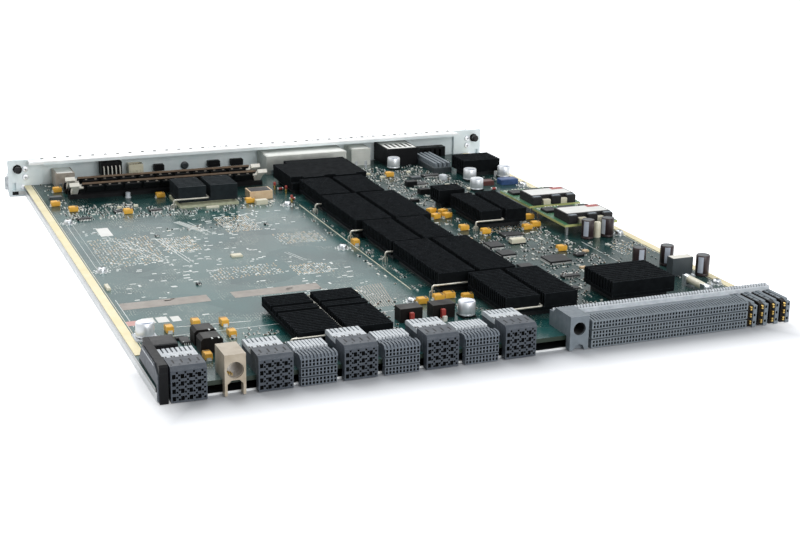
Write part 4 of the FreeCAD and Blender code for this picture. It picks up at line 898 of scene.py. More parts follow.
@dataclass
class RearConnectors:
    """The backplane connectors along the rear edge, their combs, contact holes and ridges.

    Attributes:
        foot: Height of the connectors' undersides beyond the board.
        lip: Where they step down past the board's edge.
        plate: Thickness of the pierced faces.
        hole: Depth of the contact holes.
        pitch: Distance between contacts.
        seam: Gap between two pierced bars.
        signal: The signal connectors.
        signal_face: Height of their pierced face.
        signal_step: How far behind the face their nose ends.
        signal_pitch: Distance between their columns.
        blade: The blade connectors.
        long: The long connector.
        wafer: The contact wafers.
    """

    foot: float = 0.4
    lip: float = 218.2
    plate: float = 3.0
    hole: float = 0.55
    pitch: float = 1.9
    seam: float = 0.8
    signal: Kind = Kind((165.5, 121.6, 76.6, 31.6, -13.4), 9.0, 18.8, 30.5)
    signal_face: float = 17.0
    signal_step: float = 14.0
    signal_pitch: float = 4.2
    blade: Kind = Kind((99.1, 54.1, 9.1), 9.5, 16.3, 25.5, 4.15)
    long: Kind = Kind((-106.0,), 50.0, 16.4, 18.5, 4.5)
    wafer: Kind = Kind((-159.75, -167.25, -174.75, -182.25), 2.5, 14.1, 20.0)

    def build(self) -> None:
        """Builds every connector."""
        self.signals()
        self.blades()
        self.long_one()
        self.rail()
        self.wafers()
        self.guides()
        self.corner()

    def pierced(self, columns: Array, rows: Array, opened: Array) -> tuple[Shape, Shape]:
        """A plate of blind openings at the connectors' face, and a near-black floor in each opening, painted
        shade for a deep hole.

        Args:
            columns: Edges along X, rising.
            rows: Edges along Z, rising.
            opened: True for each open cell, columns by rows.

        Returns:
            The plate and the painted shade in its openings.
        """
        slack, thick = 0.02, 0.3
        plate = lattice(columns, rows, opened, self.hole, self.plate).at(0, FACE_Y, 0)
        aside, upward = np.nonzero(opened)
        width, height = columns[aside + 1] - columns[aside], rows[upward + 1] - rows[upward]
        spots = places(columns[aside] + width/2, FACE_Y - self.hole, rows[upward] + slack)
        sizes = np.stack([width - 2*slack, np.full(len(width), thick), height - 2*slack], axis=-1)
        return plate, block(1, 1, 1).copies(spots, sizes)

    def zigzag(self) -> tuple[Shape, Shape]:
        """The face of a signal connector: in each of four columns staggered holes beside large openings.

        Returns:
            The pierced plate about X = 0 and the painted shade in its openings.
        """
        cell = np.array([0.02, 1.1, 1.14, 2.22, 2.34, 4.16])
        count, first, step, tall = 12, 1.3, 1.26, 1.15
        starts, half = self.signal_pitch*np.arange(-2, 2), self.signal.half
        columns = np.concatenate([[-half], (starts[:, None] + cell).ravel(), [half]])
        lows = first + step*np.arange(count)
        rows = np.concatenate([[self.foot], np.stack([lows, lows + tall], axis=-1).ravel(),
                               [self.signal_face]])
        opened = np.zeros((len(columns) - 1, len(rows) - 1), bool)
        small = 1 + 2*np.arange(count)
        for start in 1 + len(cell)*np.arange(len(starts)):
            opened[start, small[::2]] = True
            opened[start + 2, small[1::2]] = True
            for low in small[::3]:
                opened[start + 4, low:low + 3] = True
        return self.pierced(columns, rows, opened)

    def signals(self) -> None:
        """Signal connectors: pierced face, slotted grey nose and a pale overmould with comb teeth behind;
        slots, openings and the spaces between teeth are painted as black shade.
        """
        kind, pitch, face = self.signal, self.signal_pitch, self.signal_face
        width, top, back = 2*kind.half, kind.top, kind.back
        step, rear, deck, sill_top = FACE_Y - self.signal_step, FACE_Y - self.plate, top - 3.4, top - 0.9
        nose = across([(step, BOARD_TOP), (self.lip, BOARD_TOP), (self.lip, self.foot), (rear, self.foot),
                       (rear, face), (FACE_Y - 0.1, face), (FACE_Y - 0.5, top - 0.9), (FACE_Y - 1.8, top),
                       (step, top)], width)
        under = block(width - 0.6, step - back, deck - BOARD_TOP).at(0, (step + back)/2, BOARD_TOP)
        ribs = block(width + 0.2, 0.6, 9.6).copies(places(0, step + np.array([3.0, 8.0]), BOARD_TOP + 0.2))
        plate, shade_floors = self.zigzag()
        piece("signal_housings", [nose, under, ribs, plate], Palette.GREY, kind.spots,
              replaces=["signal_connectors"])
        tooth = across([(back, deck), (step - 5.5, deck), (step - 5.5, top - 0.8), (back + 1.2, top - 0.8),
                        (back, top - 1.6)], 1.44)
        sill = block(width, 9.0, sill_top - deck).at(0, step - 4.5, deck)
        piece("signal_combs", [tooth.row(8, 2.32), sill], Palette.PALE, kind.spots)
        # painted shade: a black sheet below the comb's teeth, and black marks for the slots, openings and
        # small recesses
        gap_shade = block(width - 1.2, 8.6, 0.1).at(0, back + 5.0, deck)
        slots = block(0.8, 4.6, PAINT).row(4, pitch, -0.4, step + 6.2, top)
        marks = [block(0.9, 2.8, PAINT).row(4, pitch, x, step - y, sill_top)
                 for x, y in ((0.9, 2.6), (2.2, 2.9))]
        dimple_shade = turned([(0.5, 0), (0.5, INK)], 8).row(4, pitch, 1.4, step + 10.2, top)
        piece("signal_slot_shade", [gap_shade, slots, *marks, dimple_shade], Palette.BLACK, kind.spots)
        piece("signal_painted_shade", [shade_floors], Palette.SHADE_BLACK, kind.spots)

    def front(self, kind: Kind, columns: int, end: float, sink: float, rise: float, bend: float
              ) -> tuple[list[Shape], Shape]:
        """The front of a connector with three pierced bars, which hangs over the board's edge.

        Args:
            kind: The connector.
            columns: Contacts in a row.
            end: Where the front ends on the board.
            sink: How far the core lies under the ridges' tops.
            rise: How far behind the face the core reaches its full height.
            bend: How far the ridges' nose is rounded.

        Returns:
            The core, the pierced bars and the ridges about X = 0, and the painted shade in the holes.
        """
        hole_wide, hole_high, ridge = 1.2, 1.5, 0.92
        top, face, rear = kind.top, self.foot + 3*kind.bar + 2*self.seam, FACE_Y - self.plate
        core = across([(end, BOARD_TOP), (self.lip, BOARD_TOP), (self.lip, self.foot), (rear, self.foot),
                       (rear, face - 0.2), (FACE_Y - 0.9, face - 0.2), (FACE_Y - rise, top - sink),
                       (end, top - sink)], 2*kind.half)
        aside, open_x = holes(columns, self.pitch, hole_wide, 0.0, kind.half)
        pairs = []
        for low in self.foot + (kind.bar + self.seam)*np.arange(3):
            upward, open_z = holes(2, kind.bar*0.45, hole_high, low + kind.bar/2, kind.bar/2)
            pairs.append(self.pierced(aside, upward, open_x[:, None] & open_z[None]))
        plates, shade_floors = zip(*pairs)
        over = across([(end, top - 1.2), (FACE_Y - 1.4, face - 0.4), (FACE_Y - 0.1, face),
                       (FACE_Y - 0.1, face + 0.3), (FACE_Y - 0.55*bend, top - 0.35), (FACE_Y - bend, top),
                       (end, top)], ridge)
        return [core, *plates, over.row(columns + 1, self.pitch)], Shape.join(shade_floors)

    def blades(self) -> None:
        """Blade connectors: three pierced bars, ridged nose, a low grey comb and pale rear teeth."""
        kind, columns, end = self.blade, 10, FACE_Y - 6.5
        width, top, back, deck = 2*kind.half, kind.top, kind.back, kind.top - 3.0
        nose, shade_floors = self.front(kind, columns, end, 0.8, 2.6, 2.4)
        under = block(width - 0.4, end - back, deck - BOARD_TOP).at(0, (end + back)/2, BOARD_TOP)
        low = across([(FACE_Y - 13.2, deck), (end, deck), (FACE_Y - 7.2, top - 1.6),
                      (FACE_Y - 13.2, top - 1.3)], 1.24)
        piece("blade_housings", [*nose, under, low.row(columns, self.pitch)], Palette.MIDDLE, kind.spots,
              replaces=["blade_connectors"])
        tooth = across([(back, deck), (FACE_Y - 13.6, deck), (FACE_Y - 14.4, top - 0.5),
                        (back + 1.2, top - 0.5), (back, top - 1.4)], 1.32)
        spine = block(width - 0.4, 4.0, 1.9).at(0, FACE_Y - 17.6, deck)
        piece("blade_combs", [tooth.row(columns, self.pitch), spine], Palette.PALE, kind.spots)
        # painted shade: a near-black sheet below the rear teeth
        gap_shade = block(width - 1.0, 18.0, 0.1).at(0, FACE_Y - 16.0, deck)
        piece("blade_painted_shade", [shade_floors, gap_shade], Palette.SHADE_BLACK, kind.spots)

    def long_one(self) -> None:
        """The long connector: three pierced bars of 52 contacts and a ridged nose with a valley behind it."""
        kind, end = self.long, FACE_Y - 9.8
        nose, shade_floors = self.front(kind, 52, end, 0.9, 3.2, 3.4)
        valley = across([(kind.back, BOARD_TOP), (end, BOARD_TOP), (end, 15.2), (FACE_Y - 11.5, 14.4),
                         (kind.back, 14.2)], 2*kind.half)
        piece("long_housing", [*nose, valley], Palette.LIGHT, kind.spots, replaces=["long_connector"])
        piece("long_painted_shade", [shade_floors], Palette.SHADE_BLACK, kind.spots)

    def rail(self) -> None:
        """The pale rail behind the long connector, as far as the last wafer, with two rows of teeth and
        painted shade between them.
        """
        start, end, low, high, top = -184.6, -43.4, 198.4, 202.4, 16.3
        rows, half_pitch = low + np.array([0.9, 2.7]), self.pitch/2
        near, far = node_box("socket_guide_block")
        wall = extruded([(low, BOARD_TOP), (high, BOARD_TOP), (high, top - 0.5), (high - 0.5, top),
                         (low, top)], start, near[0], "X")
        heel = extruded([(low, BOARD_TOP), (near[1], BOARD_TOP), (near[1], far[2] - 0.6), (high, top),
                         (low, top)], near[0], far[0], "X")
        piece("socket_guide_heel", [heel], Palette.LIGHT)
        fill = block(2*self.long.half, 1.7, 6.4).at(self.long.xs[0], high + 0.85, BOARD_TOP)
        xs = np.arange(start + 1.0, end - 0.6, self.pitch)
        teeth = np.concatenate([places(xs, rows[0], top), places(xs + half_pitch, rows[1], top)])
        pit_shade_spots = np.concatenate([places(xs + half_pitch, rows[0], top), places(xs, rows[1], top)])
        piece("long_rail", [wall, fill, block(1.15, 1.3, 0.9, 0.2).copies(teeth)], Palette.PALE)
        # painted shade: dark marks on the rail top where the teeth leave room
        piece("long_rail_pit_shade", [block(0.8, 1.1, INK)], Palette.CHIP, pit_shade_spots)

    def wafers(self) -> None:
        """Contact wafers: a dark half with paired gold springs beside a pale half with three holes."""
        kind, levels, middle, rear = self.wafer, 7.25 + 4.2*np.arange(-1, 2), -0.1, FACE_Y - self.plate
        back, top, cut = kind.back, kind.top, kind.top - 0.5
        foot = [(back, BOARD_TOP), (self.lip, BOARD_TOP), (self.lip, self.foot)]
        dark = extruded([*foot, (FACE_Y - 1.6, self.foot), (FACE_Y - 1.6, top - 1.2), (FACE_Y - 3.0, cut),
                         (back, cut)], middle, kind.half, "X")
        pale = extruded([*foot, (rear, self.foot), (rear, top - 1.0), (FACE_Y - 3.4, top), (back, top)],
                        -kind.half, middle, "X")
        rows = np.concatenate([[self.foot], np.stack([levels - 0.8, levels + 0.8], axis=-1).ravel(),
                               [top - 1.0]])
        opened = np.zeros((3, len(rows) - 1), bool)
        opened[1, 1::2] = True
        face, shade_floors = self.pierced(np.array([-kind.half, -1.8, -0.5, middle]), rows, opened)
        piece("wafer_plates", [pale, face], Palette.LIGHT, kind.spots, replaces=["contact_wafers"])
        piece("wafer_cores", [dark], Palette.DARK_BROWN, kind.spots)
        caps = block(1.7, 4.0, 0.35, 0.1).copies(places(1.3, back + 2.5 + 5.2*np.arange(3), cut))
        piece("wafer_caps", [caps], Palette.LIGHT, kind.spots)
        # painted shade in the wafers' holes and in two pits on top
        pit_shade = block(1.3, 1.6, PAINT).copies(places(1.1, [206.5, 212.0], cut))
        piece("wafer_painted_shade", [shade_floors, pit_shade], Palette.SHADE_BLACK, kind.spots)
        pairs = places(1.15, FACE_Y - 1.0, np.concatenate([levels - 1.05, levels + 0.2]))
        piece("wafer_contacts", [block(1.1, 1.8, 0.85, 0.25).copies(pairs)], Palette.GOLD, kind.spots)

    def lining(self, name: str, radius: float, height: float, finish: Finish) -> None:
        """A thin sleeve inside a guide's bore, open from end to end.

        Args:
            name: The guide's node.
            radius: Radius of the bore.
            height: Height of its axis.
            finish: The sleeve's finish.
        """
        slack, thick, count = 0.02, 0.3, 33
        low, high = node_box(name)
        outer, inner = (arc(r, 0, 2*np.pi, count) for r in (radius - slack, radius - thick))
        outline = np.concatenate([outer, inner[::-1]])[:, ::-1]
        sleeve = extruded(outline.tolist(), low[1] + 1.5, high[1] - 1.2, "Y")
        piece(name + "_lining", [sleeve.at((low[0] + high[0])/2, 0, height)], finish)

    def guides(self) -> None:
        """The bored guides with their linings, spring leaves in one bore, and a pale strip on the tray's rear
        edge as a painted highlight.
        """
        pin_x, pin_axis, leaf_radius = 142.4, BOARD_TOP + 5.65, 4.02
        dress(Palette.BEIGE, "pin_guide_block")
        dress(Palette.LIGHT, "socket_guide_block")
        self.lining("pin_guide_block", 4.35, pin_axis, Palette.TAN)
        self.lining("socket_guide_block", 3.7, BOARD_TOP + 4.5, Palette.FERRITE)
        aside = np.array([0.4, 1.5, 2.5])
        leaves = places(pin_x + aside, FACE_Y - 6.5, pin_axis - np.sqrt(leaf_radius**2 - aside**2))
        piece("guide_springs", [block(0.6, 3.4, 0.9, 0.25)], Palette.GOLD, leaves)
        # painted highlight: a pale strip along the tray's rear edge
        piece("tray_lip_highlight", [block(344, 0.2, 0.9).at(0, REAR_Y + 0.08, 0.02)], Palette.STRIP)

    def corner(self) -> None:
        """The corner guide: nose, lid, and on its outer side a grey bevelled plate with a pale line, a
        painted reflection and highlight on the black guide.
        """
        plate, line = 0.7, 0.85
        dress(Palette.BLACK, "corner_guide")
        low, high = node_box("corner_guide")
        nose = extruded([(FACE_Y, 16.3), (FACE_Y, 19.4), (FACE_Y - 1.2, high[2]), (FACE_Y - 8.0, high[2])],
                        high[0] - 4.3, high[0], "X")
        piece("corner_nose", [nose], Palette.BLACK)
        lid = block(11.6, 13.4, 0.25, 0.2).at(low[0] + 6.6, low[1] + 7.2, BOARD_TOP + 11.5)
        piece("corner_lid", [lid], Palette.FERRITE)
        # painted reflection: a grey plate on the black side, and a pale line along it as a painted highlight
        side = extruded([(219.0, 1.5), (221.6, 1.5), (221.6, 15.2), (214.2, 19.2), (188.5, 19.2),
                         (181.0, 10.5), (219.0, 9.5)], high[0], high[0] + plate, "X")
        piece("corner_side_reflection", [side], Palette.GREY)
        trim = extruded([(213.6, 18.4), (189.0, 18.4), (188.4, 17.6), (214.4, 17.6)], high[0] + plate,
                        high[0] + line, "X")
        piece("corner_side_highlight", [trim], Palette.PALE)


@dataclass
class PowerParts:
    """Capacitors, fuse, coils and relays.

    Attributes:
        cans: Places of the can capacitors; the one with a plate under it is the fifth.
        radials: Places of the sleeved capacitors.
        stripes: Where each sleeve's stripe looks, in radians.
        stubs: Places of the stubs beside the relays.
    """

    cans: Rows = ((-100.5, -173.5), (-142.0, -120.0), (-133.7, -90.0), (-171.0, -120.5), (170.0, 147.0),
                  (-5.6, 170.5))
    radials: Rows = ((-148.0, 53.0), (-163.0, 53.0), (-146.0, 121.5), (-165.0, 123.0), (-174.5, 148.5))
    stripes: tuple[float, ...] = (-0.8, -1.3, -0.2, -0.5, -0.9)
    stubs: Rows = ((28.2, 172.6), (9.5, 172.6))

    def build(self) -> None:
        """Builds the round parts smooth and dresses the rest."""
        self.capacitors()
        self.sleeved()
        self.fuse()
        self.wound()

    def capacitors(self) -> None:
        """Can capacitors: a beaded shell with a half-round mark, on a square base."""
        spots = on_board(self.cans)
        shell = turned([(4.2, 1.2), (4.9, 1.25), (4.95, 1.6), (4.75, 2.1), (4.95, 2.5), (4.95, 8.5),
                        (4.6, 9.0), (4.2, 9.0), (4.15, 8.9), (0.6, 8.9)], 28)
        piece("can_shells", [shell], Palette.BARE, spots, replaces=["can_capacitors"], smooth=True)
        piece("can_bases", [block(8.4, 8.4, 1.2, 0.3)], Palette.BLACK, spots)
        piece("can_plate", [block(12.4, 12.4, 1.0, 0.3)], Palette.PALE, spots[4])
        mark = extruded(arc(4.1, 0.6, 2.55, 9).tolist(), 8.9, 8.9 + PAINT, "Z")
        piece("can_marks", [mark], Palette.BLUE, spots)

    def sleeved(self) -> None:
        """Sleeved capacitors: a beaded sleeve with a stripe and a bare lid, and a pale post between two."""
        spots = on_board(self.radials)
        sleeve = turned([(3.9, 0.0), (4.2, 0.3), (4.2, 1.2), (4.0, 1.6), (4.2, 2.0), (4.25, 12.4),
                         (4.0, 12.9), (3.5, 13.0), (3.45, 12.8), (0.5, 12.8)], 28)
        piece("radial_sleeves", [sleeve], Palette.SLEEVE, spots, replaces=["radial_capacitors"], smooth=True)
        lid = turned([(3.4, 12.75), (3.4, 12.86), (0.4, 12.9)], 24)
        piece("radial_lids", [lid], Palette.FILM, spots, smooth=True)
        post = turned([(2.3, 0), (2.3, 9.6), (1.9, 10.4), (0.5, 10.6)], 20).at(-155.6, 52.5, BOARD_TOP)
        piece("pale_post", [post], Palette.CREAM, smooth=True)
        band = np.concatenate([arc(4.3, 1.2, 2.0, 6), arc(4.15, 2.0, 1.2, 6)])
        piece("radial_stripes", [extruded(band.tolist(), 2.2, 12.3, "Z")], Palette.STRIPE, spots,
              np.array(self.stripes), smooth=True)

    def fuse(self) -> None:
        """The fuse: a ceramic barrel along Y between two rounded metal caps."""
        cap_long = 4.2
        low, high = node_box("fuse")
        radius, run, (x, y, z) = (high[0] - low[0])/2, (high[1] - low[1])/2, (low + high)/2
        barrel = turned([(radius - 0.25, cap_long - run), (radius - 0.25, run - cap_long)], 28)
        piece("fuse_barrel", [barrel.spun(-90, "X").at(x, y, z)], Palette.CREAM, replaces=["fuse"],
              smooth=True)
        cap = turned([(radius - 0.5, 0), (radius - 0.05, 0.35), (radius, 0.8), (radius, 3.6),
                      (radius - 0.1, cap_long)], 28)
        caps = [cap.at(0, 0, -run), cap.spun(180, "X").at(0, 0, run)]
        piece("fuse_caps", [shape.spun(-90, "X").at(x, y, z) for shape in caps], Palette.TURNED, smooth=True)
        dress(Palette.TURNED, "fuse_clips")

    def wound(self) -> None:
        """Coils and relays with their marks and stubs, and the film capacitor's pale lid."""
        dress(Palette.DARK_BROWN, "coils", "relays")
        dress(Palette.FILM, "film_capacitor")
        low, high = node_box("film_capacitor")
        lid = block(*(high - low)[:2] - 0.8, 0.15, 0.1).at(*(low + high)[:2]/2, high[2])
        piece("film_lid", [lid], Palette.WHITE)
        marks = block(0.8, 2.2, PAINT).copies(places([137.5, 141.0], 168.5, BOARD_TOP + 8.5))
        piece("coil_marks", [marks, marks.at(2.0, 13.3, 0)], Palette.PRINT)
        spots = on_board(self.stubs)
        piece("relay_stubs", [block(2.4, 2.0, 5.2, 0.3).at(0, 0, 1.2)], Palette.RED, spots)
        piece("relay_feet", [block(2.8, 2.4, 1.2, 0.2), block(2.4, 1.6, 3.0, 0.2).at(0, 2.4, 0)],
              Palette.WHITE, spots)


@dataclass
class HeatSinks:
    """Finned sinks with a lengthwise clip channel, and the spring wires that hold them.

    Attributes:
        pitch: Distance between fins.
        thick: Thickness of a fin.
        channel: Width of the clip channel.
        base: Height of the base plate.
        wire: Radius of the spring wires.
        finned: Nodes that get fins of their own; a wire holds each, and the processor's sink too.
        grooves: Cross grooves of the low sink, as Y from and to.
        coarse_pitch: Distance between the coarse sink's fins, which have no channel.
        coarse_thick: Thickness of one of them.
    """

    pitch: float = 2.45
    thick: float = 1.15
    channel: float = 3.4
    base: float = 2.0
    wire: float = 0.6
    finned: tuple[str, ...] = (*(f"row_heat_sink_{name}" for name in ("one", "two", "three", "four", "five")),
                               "split_heat_sink", "low_heat_sink")
    grooves: Rows = ((140.0, 143.2), (150.0, 153.2))
    coarse_pitch: float = 3.0
    coarse_thick: float = 1.9

    def build(self) -> None:
        """Builds fins and clips, and dresses the sinks that stay."""
        for name in self.finned:
            self.fins(name, name + "_fins", self.pitch, self.thick, self.channel,
                      self.grooves if name == "low_heat_sink" else ())
        self.fins("coarse_heat_sink", "coarse_fins", self.coarse_pitch, self.coarse_thick)
        self.clips()
        dress(Palette.FINS, *[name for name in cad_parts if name.endswith("heat_sink")])
        dress(Palette.SLATE, "processor_heat_sink")

    def fins(self, node: str, name: str, pitch: float, thick: float, channel: float = 0.0,
             grooves: Sequence[tuple[float, float]] = ()) -> None:
        """Chamfered fins on one base, in two files where a channel parts them.

        Args:
            node: The node whose box they fill.
            name: The piece's name.
            pitch: Distance between fins, rounded to fill the box.
            thick: Thickness of a fin.
            channel: Width of the channel.
            grooves: Cross grooves that stay free, as Y from and to.
        """
        low, high = node_box(node)
        width, depth, height = high - low
        x, y = (low + high)[:2]/2
        half = (width - channel)/2
        long, mids = (half, (low[0] + half/2, high[0] - half/2)) if channel else (width, (x,))
        count = int((depth - thick)/pitch) + 1
        ys = spread(count, (depth - thick)/(count - 1), y)
        for start, end in grooves:
            ys = ys[np.abs(ys - (start + end)/2) > (end - start)/2]
        fin = block(long, thick, height - self.base, 0.2)
        files = [fin.copies(places(middle, ys, low[2] + self.base)) for middle in mids]
        piece(name, [block(width, depth, self.base).at(x, y, low[2]), *files], Palette.FINS, replaces=[node])

    def clips(self) -> None:
        """Each wire comes up at one corner, runs through the channel and goes down at the other corner."""
        bend, reach_out, wires, ends = 1.7, 4.0, [], []
        for name in (*self.finned, "processor_heat_sink"):
            low, high = node_box(name)
            width, depth, _ = high - low
            middle = np.array([*(low + high)[:2]/2, 0.0])
            run, reach = depth/2 + 0.2 + self.wire, width/2 + reach_out
            level = low[2] + self.base + self.wire + 0.1
            path = np.array([(reach, run, BOARD_TOP), (reach, run, level), (0, run, level), (0, -run, level),
                             (-reach, -run, level), (-reach, -run, BOARD_TOP)]) + middle
            wires.append(tube(rounded(path, bend), self.wire))
            ends.append(path[[0, -1]])
        piece("spring_clips", wires, Palette.WIRE, replaces=["heat_sink_clips"], smooth=True)
        arch = np.array([(-1.5, 0, 0), (-1.5, 0, 3.0), (1.5, 0, 3.0), (1.5, 0, 0)])
        piece("clip_staples", [tube(rounded(arch, 1.2), 0.4, 6)], Palette.WIRE, np.concatenate(ends),
              smooth=True)


@dataclass
class BoardPrint:
    """What lies flat on the board: screws, edge strips, printed lines, pads, via fields and bare labels.

    Attributes:
        screws: Places of the board screws.
        fields: Via fields as X, Y from and to, and the distance between vias.
        lines: Printed lines as X, Y of both ends and the width.
        labels: Bare labels as X, Y, width, depth.
        strip_width: Width of the edge strips.
    """

    screws: Rows = (
        (168.5, -92), (168.5, 23), (168.5, 138), (13.7, -92), (13.7, 23), (13.7, 138), (-173.5, -92),
        (-173.5, 51), (-173.5, 166))
    fields: Rows = (
        (50, -76, 74, -36, 1.5), (100, -36, 122, -2, 1.5), (126, -46, 165, 17, 2.0), (18, -22, 48, 2, 1.8),
        (36, 48, 60, 68, 1.5), (-128, -2, -92, 20, 1.6), (66, 40, 110, 62, 2.1), (-176, 70, -150, 96, 2.2))
    lines: Rows = (
        (170.4, -86, 170.4, 17, 0.3), (166.6, -86, 166.6, 17, 0.2), (122, -34, 114, 22, 0.5),
        (119.6, -34, 111.6, 22, 0.5), (158, 149, 60, 149, 0.5), (55, 149, 20, 149, 0.5),
        (100, 128, 86, 152, 0.5), (97, 128, 83, 152, 0.5), (150.4, 135.8, 110.1, 139.5, 0.7),
        (146, -40, 132, 14, 0.5), (141, -42, 128, 10, 0.5), (92, -70, 84, -40, 0.5), (52, 20, 46, 40, 0.4),
        (50, 20, 44, 40, 0.4), (172, 80, 172, 128, 0.4), (150, -52, 143, -10, 0.35),
        (-140, 60, -140, 148, 0.35), (-60, -120, -60, -60, 0.35), (-64, 60, -64, 160, 0.4))
    labels: Rows = (
        (150, -62.5, 8, 20), (162.2, 121, 6.2, 9), (154.8, 121.6, 6.2, 9), (147.6, 122.4, 5, 8.4))
    strip_width: float = 5.2

    def build(self) -> None:
        """Builds the print in order."""
        dress(Palette.BOARD, "circuit_board")
        self.fixings()
        self.strips()
        self.vias()
        self.marks()

    def fixings(self) -> None:
        """Pan heads with a star recess painted as black shade, on a tinned pad inside a ring of solder dots.
        """
        spots = on_board(self.screws)
        head = turned([(3.3, 0.05), (3.3, 0.4), (2.7, 0.45), (2.7, 1.5), (2.4, 2.2), (1.8, 2.6), (0.6, 2.7)],
                      24)
        piece("board_screw_heads", [head], Palette.TURNED, spots, replaces=["board_screws"], smooth=True)
        star = [block(2.3, 0.6, 0.2).spun(angle).at(0, 0, 2.52) for angle in (15, 75, 135)]
        piece("board_screw_recess_shade", star, Palette.BLACK, spots)
        ring = places(*arc(5.0, 0, 2*np.pi, 10, closed=False).T, 0)
        dots = turned([(0.6, 0.0), (0.6, 0.1), (0.3, 0.2)], 8).copies(ring)
        piece("board_screw_pads", [turned([(3.9, 0.0), (3.9, INK)], 24), dots], Palette.SOLDER, spots)

    def strips(self) -> None:
        """Bare strips along both side edges, a fine line inside each, comb pads and bare bands."""
        tall, inset = 0.35, 3.6
        runs = ((178.3, -206, 172.0), (-178.3, -206, 176.0))
        edges = [(x, (start + end)/2, self.strip_width, end - start, tall) for x, start, end in runs]
        lines = [(x - math.copysign(inset, x), (start + end)/2, 0.4, end - start, PAINT)
                 for x, start, end in runs]
        piece("edge_strips", boxes(edges, 0.15), Palette.EDGE_GOLD)
        piece("edge_lines", boxes(lines) + boxes([(5.6, 13.5, 0.5, 206, tall)], 0.1), Palette.CREAM)
        steps = np.linspace((98.8, -72.4), (87.9, -44.9), 24)
        piece("comb_pads", [block(5.2, 0.6, PAINT)], Palette.SOLDER, on_board(steps), 0.35)
        piece("bare_bands", boxes([(146.3, 93.0, 50.6, 12.0, INK), (80.4, 92.5, 52.8, 11.4, INK)]),
              Palette.BAND)
        piece("black_pads", boxes([(-175.4, 181.5, 10.5, 9.6, 1.1)], 0.2), Palette.BLACK)

    def vias(self) -> None:
        """Fields of six-sided via lands on a staggered grid with a little seeded scatter and gaps."""
        rng = np.random.default_rng(41)
        scatter, kept, tinned, tall = 0.1, 0.72, 0.55, 0.04
        spots = []
        for x0, y0, x1, y1, pitch in self.fields:
            grid = np.stack(np.meshgrid(np.arange(x0, x1, pitch), np.arange(y0, y1, pitch), indexing="ij"),
                            axis=-1)
            grid[1::2, :, 1] += pitch/2
            flat = grid.reshape(-1, 2) + rng.normal(0, scatter*pitch, (grid.size//2, 2))
            spots.append(flat[rng.random(len(flat)) < kept])
        every = np.concatenate(spots)
        size = rng.uniform(0.4, 0.6, len(every))
        land = turned([(1, 0), (1, 1)], 6)
        tone = rng.random(len(every)) < tinned
        for name, mask, finish in (("via_lands", tone, Palette.SOLDER), ("via_plugs", ~tone, Palette.PEACH)):
            scale = np.stack([size[mask], size[mask], np.full(mask.sum(), tall)], axis=-1)
            piece(name, [land.copies(on_board(every[mask]), scale)], finish)

    @staticmethod
    def strokes(starts: Array, ends: Array, widths: Any) -> Shape:
        """Printed bars between pairs of points.

        Args:
            starts, ends: Their ends, as X and Y.
            widths: Width of all bars, or of each.

        Returns:
            One surface that holds them all.
        """
        run = ends - starts
        size = np.stack(np.broadcast_arrays(np.hypot(*run.T), widths, INK), axis=-1)
        return block(1, 1, 1).copies(on_board(starts + run/2), size, np.arctan2(run[:, 1], run[:, 0]))

    def marks(self) -> None:
        """Printed lines, short dashes scattered with a fixed seed, and bare labels."""
        rng = np.random.default_rng(17)
        count, label_thick, hatch_width, upright = 900, 0.08, 0.55, 0.15
        rows = np.array(self.lines)
        near = np.linspace((37.7, 141.4), (25.1, 140.2), 10)
        far = np.linspace((34.3, 101.8), (18.1, 99.2), 10)
        piece("printed_hatch", [self.strokes(far, near, hatch_width)], Palette.TAN)
        spots = np.stack([rng.uniform(24, 164, count), rng.uniform(-86, 122, count)], axis=-1)
        spots = spots[rng.random(count) < 0.35 + 0.5*np.cos(spots[:, 0]/23 + 1.3)*np.cos(spots[:, 1]/31)]
        size = np.stack([rng.uniform(1.2, 4.2, len(spots)), rng.uniform(0.9, 1.5, len(spots)),
                         np.full(len(spots), INK)], axis=-1)
        dashes = block(1, 1, 1).copies(on_board(spots), size, (rng.random(len(spots)) < upright)*np.pi/2)
        piece("printed_lines", [self.strokes(rows[:, :2], rows[:, 2:4], rows[:, 4]), dashes], Palette.PRINT)
        piece("bare_labels", boxes([(*row, label_thick) for row in self.labels]), Palette.LABEL)
        piece("pink_label", boxes([(171.5, 122.4, 6, 7.4, label_thick)]), Palette.PINK)


